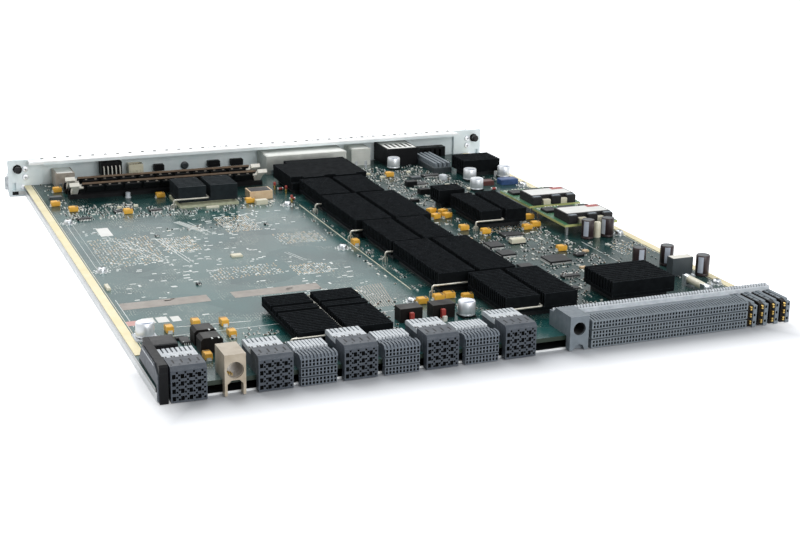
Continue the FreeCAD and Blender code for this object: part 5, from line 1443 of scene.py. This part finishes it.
@dataclass
class SmallParts:
    """Surface-mounted parts: tantalum blocks, chips with leads, crystals, diodes and fields of tiny parts.

    Attributes:
        tantalums: Places and turns in degrees of the orange blocks.
        chips: Plain chips as X, Y, width, depth and height, with leads on two sides.
        logic: CAD packages that get leads on four sides, as X, Y, width and depth.
        diodes: Places of the glass diodes.
        plain_boxes: Boxes by name and finish, as X, Y, width, depth and height.
        posts: Places of the upright posts.
        zones: Where tiny parts lie, as X, Y from and to, and how many are tried.
    """

    tantalums: Rows = (
        (159.6, -122, 0), (125.2, -104.7, 0), (93.8, -142, 0), (37.2, -107, 0), (-87.6, -150, 0),
        (-74.8, -39, 20), (-81.5, -34, 20), (-80.4, -24.5, 20), (-71.8, -24.5, 20), (-78.3, 8.2, 0),
        (3.1, 17, 90), (-88.5, 20.9, 0), (-119.8, 20.4, 0), (-128.6, 15.5, 0), (-117.7, 73.2, 0),
        (9.2, 142.5, 0), (-2.1, 139.7, 0), (-9.6, 137.9, 0), (-18.3, 144, 0), (155.9, 141.3, 90),
        (-133.2, -3, 0), (125.3, 140.2, 90), (126.2, 158.6, 90), (147.2, 187.7, 90), (140, 135.9, 90),
        (160.9, -180.3, 0), (168.8, -140.7, 0))
    chips: Rows = (
        (-102.4, 31, 14, 9, 1.6), (-78.8, 99.6, 9, 9, 1.6), (-95.6, 125.9, 12, 4, 1.5),
        (-124, 86.7, 8, 4, 1.5), (156.9, -97.3, 9, 4.2, 1.5), (106, -104.5, 9, 4.6, 1.6),
        (130.6, -109.6, 7, 6, 1.4), (119.6, -41.7, 3, 2, 1.0), (43.4, -47.2, 3, 2, 1.0),
        (120.2, 67.1, 3, 2.4, 1.2), (-98, -118, 12, 8, 1.6), (-112, -78, 8, 8, 1.4), (-118, -140, 14, 6, 1.6),
        (-70, 118, 8, 5, 1.4), (-110, -60, 10, 5, 1.5), (152, 160, 5, 9, 1.5), (-84, 148, 10, 5, 1.5),
        (48, 158, 8, 4.4, 1.5))
    logic: Rows = ((-103.5, 92.8, 15, 13.5), (-80, 51.3, 10, 11.5), (-79, 71, 10, 10))
    diodes: Rows = ((5.4, -135.1), (6, -104.8), (21.7, 156), (4, 159.6), (-146, -86))
    plain_boxes: tuple[tuple[str, Finish, Rows], ...] = (
        ("dark_boxes", Palette.BLACK, (
            (-91.7, -91.9, 8, 6, 4), (-91.6, -116.6, 8, 6, 4), (-122.6, 89, 5, 2.4, 1.3),
            (153.5, 155.5, 5, 3.4, 1.4), (-107, -98, 6, 5, 2.4), (-76, -72, 6, 4, 2))),
        ("grey_boxes", Palette.FILM, (
            (165.3, -161.8, 9, 5, 1.6), (-132, -169, 15, 41, 4.2), (-104, -137, 8, 6, 1.8))),
        ("rust_boxes", Palette.RUST, ((-148.5, -103, 9, 7, 3.4),)),
        ("cream_boxes", Palette.CREAM, (
            (-106, -156, 3.4, 2, 1.6), (-80.5, -147, 3.4, 2, 1.6), (-74, -160, 3, 1.8, 1.4),
            (-131.6, -93.4, 7, 5, 1.2), (116, -122, 3, 1.8, 1.4), (128, -119.9, 3.2, 2, 1.6),
            (-70, -84, 4, 2.2, 1.6), (-118, -108, 4, 2.2, 1.6))),
        ("peach_boxes", Palette.PEACH, (
            (-131.4, 80.5, 4, 2.5, 1.2), (-72, 31, 4, 2.4, 1.2), (-112, 112, 4, 2.4, 1.2))))
    posts: Rows = ((8.5, -139.1), (3.8, -126), (8.6, -98.4))
    zones: Rows = (
        (118, -134, 168, -94, 260), (58, -116, 120, -90, 160), (18, -120, 60, -94, 90),
        (-132, -180, -60, -125, 330), (-134, -124, -58, -58, 380), (-134, -58, -60, 24, 200),
        (-134, 24, -62, 132, 420), (-130, 132, -56, 182, 220), (-2, -86, 12, 120, 120),
        (-178, 46, -140, 150, 60), (60, 150, 164, 190, 130), (-40, 150, 60, 190, 130), (20, 128, 60, 148, 40),
        (150, -206, 176, -140, 30), (-176, -190, -134, -100, 70), (60, -60, 110, -46, 30))

    def build(self) -> None:
        """Builds the parts in order."""
        self.blocks()
        self.leaded()
        self.glass()
        self.plain()
        self.tiny()

    def blocks(self) -> None:
        """Tantalum blocks: moulded body with drawn-in shoulders, polarity band and tinned ends."""
        spots, turns = on_board(self.tantalums), np.radians(np.array(self.tantalums, float)[:, 2])
        corners = np.array([(-3.2, -2.1), (3.2, -2.1), (3.2, 2.1), (-3.2, 2.1)])
        levels = ((0.25, 0.93), (1.6, 1.0), (3.2, 0.96), (3.6, 0.88))
        body = loft(np.stack([np.column_stack([corners*size, np.full(4, z)]) for z, size in levels]))
        piece("tantalum_blocks", [body], Palette.TANTALUM, spots, turns)
        piece("tantalum_bands", [block(1.1, 3.72, PAINT).at(-1.9, 0, 3.58)], Palette.BROWN, spots, turns)
        ends = block(0.5, 2.4, 1.5).row(2, 6.7)
        feet = block(1.6, 3.0, 0.12).row(2, 6.6)
        piece("tantalum_ends", [ends, feet], Palette.SOLDER, spots, turns)

    def leaded(self) -> None:
        """Plain chips: chamfered body, a first-pin dot and bent leads; cream parts and a blue block."""
        lift, lead_pitch, fine_pitch = 0.15, 1.0, 0.8
        lead = across([(0, 0.9), (0.35, 0.9), (0.55, 0.15), (1.1, 0.15), (1.1, 0), (0.45, 0), (0.25, 0.75),
                       (0, 0.75)], 0.34)
        rear, front, left, right = (lead.spun(angle) for angle in (0, 180, -90, 90))
        leads = []
        for x, y, width, depth, _ in self.chips:
            xs = x + np.arange(0.7 - width/2, width/2 - 0.3, lead_pitch)
            leads += [rear.copies(places(xs, y + depth/2, BOARD_TOP)),
                      front.copies(places(xs, y - depth/2, BOARD_TOP))]
        for x, y, width, depth in self.logic:
            xs, ys = (middle + np.arange(0.9 - size/2, size/2 - 0.5, fine_pitch)
                      for middle, size in ((x, width), (y, depth)))
            leads += [rear.copies(places(xs, y + depth/2, BOARD_TOP)),
                      front.copies(places(xs, y - depth/2, BOARD_TOP)),
                      left.copies(places(x + width/2, ys, BOARD_TOP)),
                      right.copies(places(x - width/2, ys, BOARD_TOP))]
        bodies = [(x, y, width, depth, height - lift) for x, y, width, depth, height in self.chips]
        piece("plain_chips", boxes(bodies, 0.25, BOARD_TOP + lift), Palette.CHIP)
        firsts = [(x + width/2 - 1, y + depth/2 - 1, BOARD_TOP + height)
                  for x, y, width, depth, height in self.chips]
        piece("chip_dots", [turned([(0.4, 0), (0.4, 0.03)], 10)], Palette.PRINT, firsts)
        piece("chip_leads", leads, Palette.SOLDER)
        cream = ((-98.1, 49, 0.6, 10, 4.6, 3.0, 0.5), (171.9, 56.9, 0, 2.4, 9, 1.6, 0.3),
                 (83, 18, 0, 7, 5, 1.2, 0.3), (66, -101.4, 0, 9.2, 1.9, 1.5, 0.25),
                 (30.4, -101, 0, 8.5, 4.5, 3.4, 0.4))
        piece("cream_parts", [block(*size).at(x, y, BOARD_TOP + z) for x, y, z, *size in cream],
              Palette.CREAM)
        piece("crystal_base", boxes([(-98.1, 49, 11, 5.6, 0.6)]), Palette.BLACK)
        piece("blue_block", boxes([(-165, -101, 14, 8, 4.2)], 0.6), Palette.BLUE)

    def plain(self) -> None:
        """Chamfered boxes, ribs on the long grey one, upright posts and a white pillar."""
        for name, finish, rows in self.plain_boxes:
            piece(name, boxes(rows, 0.3), finish)
        piece("grey_ribs", [block(2.0, 40, 3.6, 0.4).row(4, 3.7, -132, -169, BOARD_TOP + 4.2)], Palette.LIGHT)
        spots = on_board(self.posts)
        stem = turned([(0.9, 0), (0.9, 2.6), (0.7, 2.8), (0.7, 3.0)], 12)
        crown = turned([(0.85, 3.0), (1.0, 3.3), (1.0, 5.0), (0.6, 5.5)], 12)
        piece("post_stems", [stem], Palette.GOLD, spots, smooth=True)
        piece("post_crowns", [crown], Palette.RED, spots, smooth=True)
        pillar = turned([(2.2, 0), (2.2, 0.6), (1.8, 0.9), (1.8, 3.6), (1.4, 4.0)], 16)
        drum = turned([(3.0, 0), (3.2, 0.3), (3.2, 3.4), (2.7, 4.0), (0.6, 4.1)], 20)
        piece("white_pillar", [pillar.at(115.9, -148.4, BOARD_TOP), drum.at(-122.6, -126.9, BOARD_TOP)],
              Palette.PALE, smooth=True)

    def glass(self) -> None:
        """Glass diodes: a red barrel along X with tinned ends."""
        spots = on_board(self.diodes)
        barrel = turned([(0.85, -1.6), (0.95, -1.3), (0.95, 1.3), (0.85, 1.6)], 12).spun(90, "Y")
        cap = turned([(0.95, -0.35), (1.02, -0.25), (1.02, 0.25), (0.95, 0.35)], 12).spun(90, "Y")
        piece("diode_glass", [barrel.at(0, 0, 1.0)], Palette.RED, spots, smooth=True)
        piece("diode_ends", [cap.row(2, 3.7, z=1.05)], Palette.SOLDER, spots, smooth=True)

    def taken(self) -> Array:
        """Lists the rectangles of the board that larger parts stand on.

        Returns:
            Rows of lowest X and Y and highest X and Y.
        """
        skip = {"circuit_board", "carrier_tray", "standoffs", "front_panel", "emi_gasket", "can_capacitors",
                "coils", "radial_capacitors", "relays", "chip_packages", "converter_boards",
                "converter_cores", "converter_pins", "board_screws", "heat_sink_clips", "fuse_clips",
                "screw_ferrules", "lever_pins"}
        solids = [np.concatenate([low[:2], high[:2]]) for low, high in
                  (node_box(name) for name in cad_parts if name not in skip)]
        power = PowerParts()
        rows = [(x, y, 12, 12) for x, y in power.cans + power.radials + BoardPrint().screws]
        rows += [(x, y, 9, 7) for x, y, _ in self.tantalums]
        rows += [row[:4] for row in self.chips]
        rows += [row[:4] for _, _, group in self.plain_boxes for row in group]
        rows += [(x, y, 4, 4) for x, y in self.posts]
        rows += [(142.8, 169.5, 14, 26), (8, 166, 36, 12), (-165, -101, 15, 9), (-98.1, 49, 12, 7),
                 (66, -101, 12, 4), (30.4, -101, 10, 6), (-155, 173, 34, 9), (5.6, 13, 2, 220), *self.logic]
        middles, sizes = np.split(np.array(rows, float), 2, axis=1)
        others = np.concatenate([middles - sizes/2, middles + sizes/2], axis=1)
        return np.concatenate([np.array(solids), others])

    def tiny(self) -> None:
        """Fields of two-ended tiny parts on a seeded scatter, snapped to a grid and kept off larger parts."""
        rng = np.random.default_rng(5)
        grid, margin, reach = 2.6, 1.6, 172
        spots = np.concatenate([np.stack([rng.uniform(x0, x1, n), rng.uniform(y0, y1, n)], axis=-1)
                                for x0, y0, x1, y1, n in self.zones])
        spots = np.unique(np.round(spots/grid), axis=0)*grid
        rows = self.taken()
        inside = (spots[:, None] > rows[None, :, :2] - margin) & (spots[:, None] < rows[None, :, 2:] + margin)
        spots = spots[~inside.all(axis=2).any(axis=1)]
        spots = spots[np.abs(spots[:, 0]) < reach]
        turns = rng.integers(0, 2, len(spots))*np.pi/2
        kind = rng.integers(0, 10, len(spots))
        long = rng.choice([0.9, 1.25, 1.5], len(spots))
        where = on_board(spots)
        size = np.stack([long, long, np.ones(len(spots))], axis=-1)
        ends = block(0.32, 0.82, 0.56).row(2, 1.44)
        piece("tiny_part_ends", [ends.copies(where, size, turns)], Palette.SOLDER)
        middle = block(1.12, 0.74, 0.5, 0.06)
        for name, low, high, finish in (("tiny_resistors", 0, 5, Palette.BLACK),
                                        ("tiny_capacitors", 5, 8, Palette.BROWN),
                                        ("tiny_pale_parts", 8, 10, Palette.WHITE)):
            mask = (kind >= low) & (kind < high)
            piece(name, [middle.copies(where[mask], size[mask], turns[mask])], finish)
        LOG.info("%d tiny parts", len(spots))


@dataclass
class FrontEnd:
    """The panel's fittings, the sockets behind it and the memory.

    Attributes:
        module_x: Middle of the memory modules.
        slots: Where the two modules stand, along Y.
        tilt: How far they lean, in degrees from flat.
        seat: Height of their lower edges above the board.
        module_long: Length of their bare edges.
    """

    module_x: float = 84.7
    slots: tuple[float, float] = (-178.0, -160.0)
    tilt: float = 38.0
    seat: float = 2.3
    module_long: float = 127.6

    def build(self) -> None:
        """Dresses the nodes and builds fittings, leads and memory detail."""
        dress(Palette.PANEL, "front_panel", "end_bracket_left", "end_bracket_right")
        dress(Palette.STRIP, "emi_gasket")
        dress(Palette.TURNED, "lever_pins", "captive_screw_left", "captive_screw_right")
        dress(Palette.BLACK, "screw_ferrules", "lamp_holder", "memory_sockets", "port_box",
              "status_lamp_comb")
        dress(Palette.CAGE, "card_cage", "ethernet_jack")
        dress(Palette.TAN, "console_jack")
        dress(Palette.PEACH, "oscillator")
        dress(Palette.LEVER, "ejector_lever_left", "ejector_lever_right")
        dress(Palette.CREAM, "panel_header")
        dress(Palette.WHITE, *[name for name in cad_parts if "memory_latch" in name])
        dress(Palette.CHIP, "memory_modules")
        self.fittings()
        self.strip()
        self.header()
        self.sockets()
        self.memory()

    def fittings(self) -> None:
        """Bracket screws with their cross slots painted as dark shade, screw ends, light guides, a grommet
        and bare labels on the panel's inner side.
        """
        face = PANEL_Y + 3
        head = turned([(2.4, 0), (2.4, 0.5), (2.0, 1.1), (0.6, 1.4)], 20).spun(-90, "X")
        spots = places([179.4, 179.4, -179.4, -179.4], face, [20.4, 14.3, 20.4, 14.3])
        small = head.copies(places([181.3, -181.3], face, 6.9), 0.85)
        piece("bracket_screws", [head.copies(spots), small], Palette.BARE, smooth=True)
        cross = [block(1.8, 0.4, 0.3).at(0, 1.3, -0.15), block(0.3, 0.4, 1.8).at(0, 1.3, -0.9)]
        piece("bracket_screw_slot_shade", cross, Palette.FILM, spots)
        dome = turned([(2.7, 0), (2.7, 0.5), (2.2, 1.3), (1.2, 1.8), (0.3, 1.95)], 20).spun(-90, "X")
        for side in ("left", "right"):
            low, high = node_box("captive_screw_" + side)
            end = dome.at((low[0] + high[0])/2, high[1], (low[2] + high[2])/2)
            piece("screw_dome_" + side, [end], Palette.FERRITE, body="screw_" + side, smooth=True)
        guides = [(x, PANEL_Y + 2.3, width, 4.5, 4.8) for x, width in ((79.4, 7.7), (36.4, 9.6), (18, 9.7))]
        piece("panel_light_guides", boxes(guides, 0.5, 12.0), Palette.BLACK)
        ring = turned([(3.0, 0), (3.0, 1.2), (2.4, 1.6), (1.4, 1.6), (1.2, 1.0)], 20).spun(-90, "X")
        piece("panel_grommet", [ring.at(58.8, PANEL_Y, 14)], Palette.FILM, smooth=True)
        for name, x, width, finish in (("bracket_label", 180.4, 9, Palette.LABEL),
                                       ("bracket_label_end", 187.2, 4.4, Palette.BLACK)):
            piece(name, [block(width, 0.12, 2.6).at(x, face + 0.06, 1.2)], finish)

    def strip(self) -> None:
        """Slits of the contact strip as near-black marks of painted shade, and the end of the flange beside
        it.
        """
        low, high = node_box("emi_gasket")
        slits = places(np.arange(low[0] + 4.7, high[0], 9.4), low[1] + 2.2, high[2])
        piece("strip_slit_shade", [block(2.0, 2.8, INK)], Palette.SHADE_BLACK, slits)
        end = block(10.2, 9.2, 1.9, 0.3).at(high[0] + 5.1, high[1] - 4.6, high[2] - 1.9)
        piece("flange_end", [end], Palette.STRIP)

    def header(self) -> None:
        """Bent leads of the lamps, and the pins and fingers of the cable header."""
        low, high = node_box("lamp_holder")
        drop = high[2] - 2.6
        path = rounded([(0, high[1] - 6, drop), (0, high[1] + 1.6, drop), (0, high[1] + 2.2, BOARD_TOP)], 2.6)
        leads = tube(path, 0.42, 6).row(5, 3.0, (low[0] + high[0])/2)
        piece("lamp_leads", [leads], Palette.WHITE, smooth=True)
        low, high = node_box("panel_header")
        x, y = (low + high)[:2]/2
        pins = [block(0.6, 0.6, 8.0, 0.15).row(4, 2.0, x, y + side, high[2] - 8.6) for side in (-1.2, 1.2)]
        piece("header_pins", pins, Palette.GOLD)
        piece("header_fingers", [block(1.2, 0.7, 7.5, 0.3).row(4, 2.5, x, high[1] + 0.35, low[2])],
              Palette.CREAM)

    def sockets(self) -> None:
        """Lids and shield tabs of the sockets, the port box's back and the oscillator's lid."""
        lids, tabs = [], []
        for name in ("card_cage", "console_jack", "ethernet_jack", "port_box"):
            low, high = node_box(name)
            (x, y), (width, depth) = (low + high)[:2]/2, (high - low)[:2]
            lids.append(block(width - 2.4, depth - 3.0, 0.35, 0.25).at(x, y + 0.4, high[2]))
            count = max(2, int(width//9))
            tabs.append(block(2.2, 0.3, 3.6, 0.1).row(count, width/count, x, high[1] + 0.12, low[2]))
        piece("socket_lids", lids, Palette.LID)
        piece("socket_tabs", tabs, Palette.TURNED)
        low, high = node_box("port_box")
        x, (width, _, tall) = (low[0] + high[0])/2, high - low
        back = block(width - 0.4, 0.5, tall - 0.6, 0.3).at(x, high[1] + 0.2, low[2] + 0.4)
        slots = block(2.0, 13.0, PAINT).row(5, 4.4, x, high[1] - 10.0, high[2] + 0.33)
        piece("port_back", [back, slots], Palette.BLACK)
        low, high = node_box("oscillator")
        lid = block(*(high - low)[:2] - 2, 0.2, 0.1).at(*(low + high)[:2]/2, high[2])
        piece("oscillator_lid", [lid], Palette.FERRITE)

    def memory(self) -> None:
        """Bare upper edges, edge parts and contact rows of the two tilted modules."""
        spots = places(self.module_x, self.slots, BOARD_TOP + self.seat)
        edges = [block(self.module_long, 0.25, 1.5).at(0, 17.85, -0.75),
                 block(self.module_long, 2.6, 0.12).at(0, 16.4, 0.66)]
        contacts = block(0.75, 2.0, 0.1).row(96, 1.27, 0, 5.4, 0.65)
        parts = block(1.6, 0.9, 0.5).row(18, 6.8, 0, 15.9, -1.15)
        for name, shapes, finish in (("module_edges", edges, Palette.BROWN),
                                     ("module_contacts", [contacts], Palette.GOLD),
                                     ("module_edge_parts", [parts], Palette.TAN)):
            piece(name, [shape.spun(self.tilt, "X") for shape in shapes], finish, spots)


@dataclass
class Converters:
    """Detail on the two raised power converters: core labels, chokes and small parts.

    Attributes:
        x: Middle of both along X.
        middles: Their middles along Y.
        top: Height of their boards' upper faces.
        choke_y: Where the row of chokes stands, from the middle.
        chips: Chips as X, Y from the middle, width, depth and height.
    """

    x: float = -155.5
    middles: tuple[float, float] = (-30.5, 21.0)
    top: float = 15.6
    choke_y: float = 21.2
    chips: Rows = ((13, -12, 9, 9, 1.8), (-2, -14, 12, 7, 1.6), (-14, -10, 7, 9, 2.4), (5, -4, 8, 4, 1.4))

    def build(self) -> None:
        """Builds the detail and dresses the nodes."""
        dress(Palette.GREEN, "converter_boards")
        dress(Palette.FERRITE, "converter_cores")
        dress(Palette.TURNED, "converter_pins")
        spots, chokes = places(self.x, self.middles, self.top), (13.5, -1.5, -13)
        piece("core_labels", [block(31, 15, 0.15).at(0, 10, 6.0)], Palette.LABEL, spots)
        piece("core_patches", [block(9, 5, 0.1).at(-10.5, 4.4, 6.15)], Palette.RED, spots)
        # painted light: pale grey tops on the dark chokes, lighter than their sides
        piece("converter_choke_lit_tops", boxes([(x, self.choke_y, 5.6, 2.6, 0.3) for x in chokes], 0.1, 5.8),
              Palette.LIGHT, spots)
        piece("converter_chokes", boxes([(x, self.choke_y, 6.6, 3.6, 5.8) for x in chokes], 0.5, 0),
              Palette.FERRITE, spots)
        piece("converter_chips", boxes(self.chips, 0.25, 0), Palette.CHIP, spots)
        piece("converter_pale_parts", boxes([(x, self.choke_y, 5.6, 3.4, 3.6) for x in (6, -7.4)], 0.3, 0),
              Palette.CREAM, spots)
        self.scatter(spots)

    def scatter(self, spots: Array) -> None:
        """Tiny parts on a seeded choice of grid places, kept off the chips.

        Args:
            spots: Offsets of the two converters.
        """
        rng = np.random.default_rng(9)
        kept, margin = 0.7, 0.9
        grid = np.stack(np.meshgrid(np.arange(-18, 19, 2.4), np.arange(-22, -5, 2.2)), axis=-1).reshape(-1, 2)
        grid = grid[rng.random(len(grid)) < kept]
        chips = np.array(self.chips, float)[None]
        clash = (np.abs(grid[:, None] - chips[..., :2]) < chips[..., 2:4]/2 + margin).all(axis=2).any(axis=1)
        free = grid[~clash]
        tiny = block(1.5, 0.8, 0.6).copies(places(*free.T, 0), 1.0, rng.integers(0, 2, len(free))*np.pi/2)
        piece("converter_tiny_parts", [tiny], Palette.WHITE, spots)


@dataclass
class Studio:
    """Floor, light, world and the camera of the photograph.

    Attributes:
        eye: Where the camera stands, in millimetres.
        yaw: Its turn about Z from straight ahead, in degrees.
        pitch: How far it looks down.
        roll: Its tilt about the line of sight.
        lens: Focal length in millimetres.
        sensor: Width of the sensor in millimetres.
        soft_boxes: Lamps as name, place and aim in metres, size and power.
        floor_tone: Colour of the floor; close to the module, where it isn't lifted, it stays grey as painted
            shade.
        sky: Colour of the world.
        ambient: Strength of the world where it only lights.
    """

    eye: tuple[float, float, float] = (322.65, 864.65, 271.39)
    yaw: float = 22.51
    pitch: float = 17.08
    roll: float = 1.04
    lens: float = 65.42
    sensor: float = 36.0
    soft_boxes: tuple[tuple[Any, ...], ...] = (
        ("overhead", (0.0, -0.9, 1.25), (0, 0, 0), 1.1, 16.0),
        ("left_side", (1.5, -0.2, 0.8), (0, 0, 0), 1.0, 4.5),
        ("right_side", (-1.4, 0.2, 1.0), (0, 0, 0), 1.0, 3.0),
        ("rear_fill", (-0.5, 1.2, 1.3), (0, 0, 0), 1.0, 4.0),
        ("low_front", (-0.3, 1.6, 0.5), (0, -0.1, 0), 1.0, 13.0))
    floor_tone: Colour = (0.54, 0.56, 0.59, 1.0)
    sky: Colour = (0.97, 0.985, 1.0, 1.0)
    ambient: float = 0.26

    def build(self) -> None:
        """Builds the stage."""
        self.camera()
        self.floor()
        self.lamps()
        self.world()
        bpy.context.scene.view_settings.view_transform = "Standard"

    def camera(self) -> None:
        """Sets the camera from its yaw, pitch and roll."""
        yaw, pitch, roll = (math.radians(angle) for angle in (self.yaw, self.pitch, self.roll))
        ahead = np.array([-math.sin(yaw)*math.cos(pitch), -math.cos(yaw)*math.cos(pitch), -math.sin(pitch)])
        right = np.array([-math.cos(yaw), math.sin(yaw), 0.0])
        upward = np.cross(right, ahead)
        side = math.cos(roll)*right + math.sin(roll)*upward
        top = -math.sin(roll)*right + math.cos(roll)*upward
        view = np.eye(4)
        view[:3, :3] = np.stack([side, top, -ahead], axis=-1)
        view[:3, 3] = np.array(self.eye)*MM
        data = bpy.data.cameras.new("camera")
        data.lens, data.sensor_width, data.clip_start = self.lens, self.sensor, 0.01
        made = placed("camera", data)
        made.matrix_world = Matrix(view.tolist())
        bpy.context.scene.camera = made

    @staticmethod
    def white_for_view(wire: Wiring) -> Socket:
        """Tells the rays from the camera, and those by way of gloss or glass, from the rest.

        Args:
            wire: The wiring of a material or world.

        Returns:
            1 for those rays, else 0.
        """
        rays = wire.node("LightPath").outputs
        seen = wire.math("MAXIMUM", rays["Is Camera Ray"], rays["Is Glossy Ray"])
        return wire.math("MAXIMUM", seen, rays["Is Transmission Ray"])

    def floor(self) -> None:
        """A pale floor: diffuse for light and shadow, and lifted to white as it leaves the module, so that a
        painted grey shade stays in a band round the connectors' faces.
        """
        size, level = 6000.0, -0.1
        rise = np.linspace(-size, size, 3)
        grid = np.stack(np.meshgrid(rise, rise, indexing="ij"), axis=-1).reshape(-1, 2)
        index = np.arange(9).reshape(3, 3)
        quads = np.stack([index[:-1, :-1], index[1:, :-1], index[1:, 1:], index[:-1, 1:]],
                         axis=-1).reshape(-1, 4)
        mesh = bpy.data.meshes.new("floor")
        mesh.from_pydata((places(*grid.T, level)*MM).tolist(), [], quads.tolist())
        made = bpy.data.materials.new("pale_floor")
        wire = fresh(made)
        x, y, _ = wire.parts(wire.node("TexCoord").outputs["Object"])
        beside = wire.span(wire.math("ABSOLUTE", x), 0.165, 0.2)
        ahead = wire.span(y, FACE_Y*MM + 0.003, FACE_Y*MM + 0.05)
        behind = wire.span(y, 0.2, 0.16)
        # painted shade: no lift near the connectors, so the floor stays grey there beyond its real shadow
        lift = wire.math("MAXIMUM", wire.math("MAXIMUM", beside, ahead), behind)
        both = wire.node("AddShader")
        glow = wire.node("Emission", Color=(1, 1, 1, 1), Strength=wire.times(self.white_for_view(wire), lift))
        for socket, part in zip(both.inputs, (wire.node("BsdfDiffuse", Color=self.floor_tone), glow)):
            wire.feed(socket, part.outputs[0])
        wire.node("OutputMaterial", Surface=both.outputs[0])
        mesh.materials.append(made)
        plane = placed("floor", mesh)

    def lamps(self) -> None:
        """Soft boxes: one overhead towards the panel, one at each side, a fill and a low one at the rear."""
        for name, place, aim, size, power in self.soft_boxes:
            data = bpy.data.lights.new(name, "AREA")
            data.energy, data.size, data.shape = power, size, "SQUARE"
            away = Vector(place) - Vector(aim)
            turn = away.to_track_quat("Z", "Y").to_matrix().to_4x4()
            placed(name, data).matrix_world = Matrix.Translation(place) @ turn

    def world(self) -> None:
        """A pale world that is white where it is seen."""
        world = bpy.data.worlds.new("studio")
        bpy.context.scene.world = world
        wire = fresh(world)
        strength = wire.span(self.white_for_view(wire), 0.0, 1.0, self.ambient, 1.0)
        shader = wire.node("Background", Color=self.sky, Strength=strength)
        wire.node("OutputWorld", Surface=shader.outputs[0])


def main() -> None:
    """Builds the sub-assemblies in order and the studio round them."""
    logging.basicConfig(level=logging.INFO, format="%(name)s %(message)s")
    dress(Palette.TRAY, "carrier_tray")
    dress(Palette.TURNED, "standoffs")
    dress(Palette.CHIP, "chip_packages")
    dress(Palette.SUBSTRATE, "processor_package")
    for assembly in (RearConnectors(), PowerParts(), HeatSinks(), BoardPrint(), SmallParts(), FrontEnd(),
                     Converters(), Studio()):
        assembly.build()
        LOG.info("%s done", type(assembly).__name__)


if __name__ == "__main__":
    main()
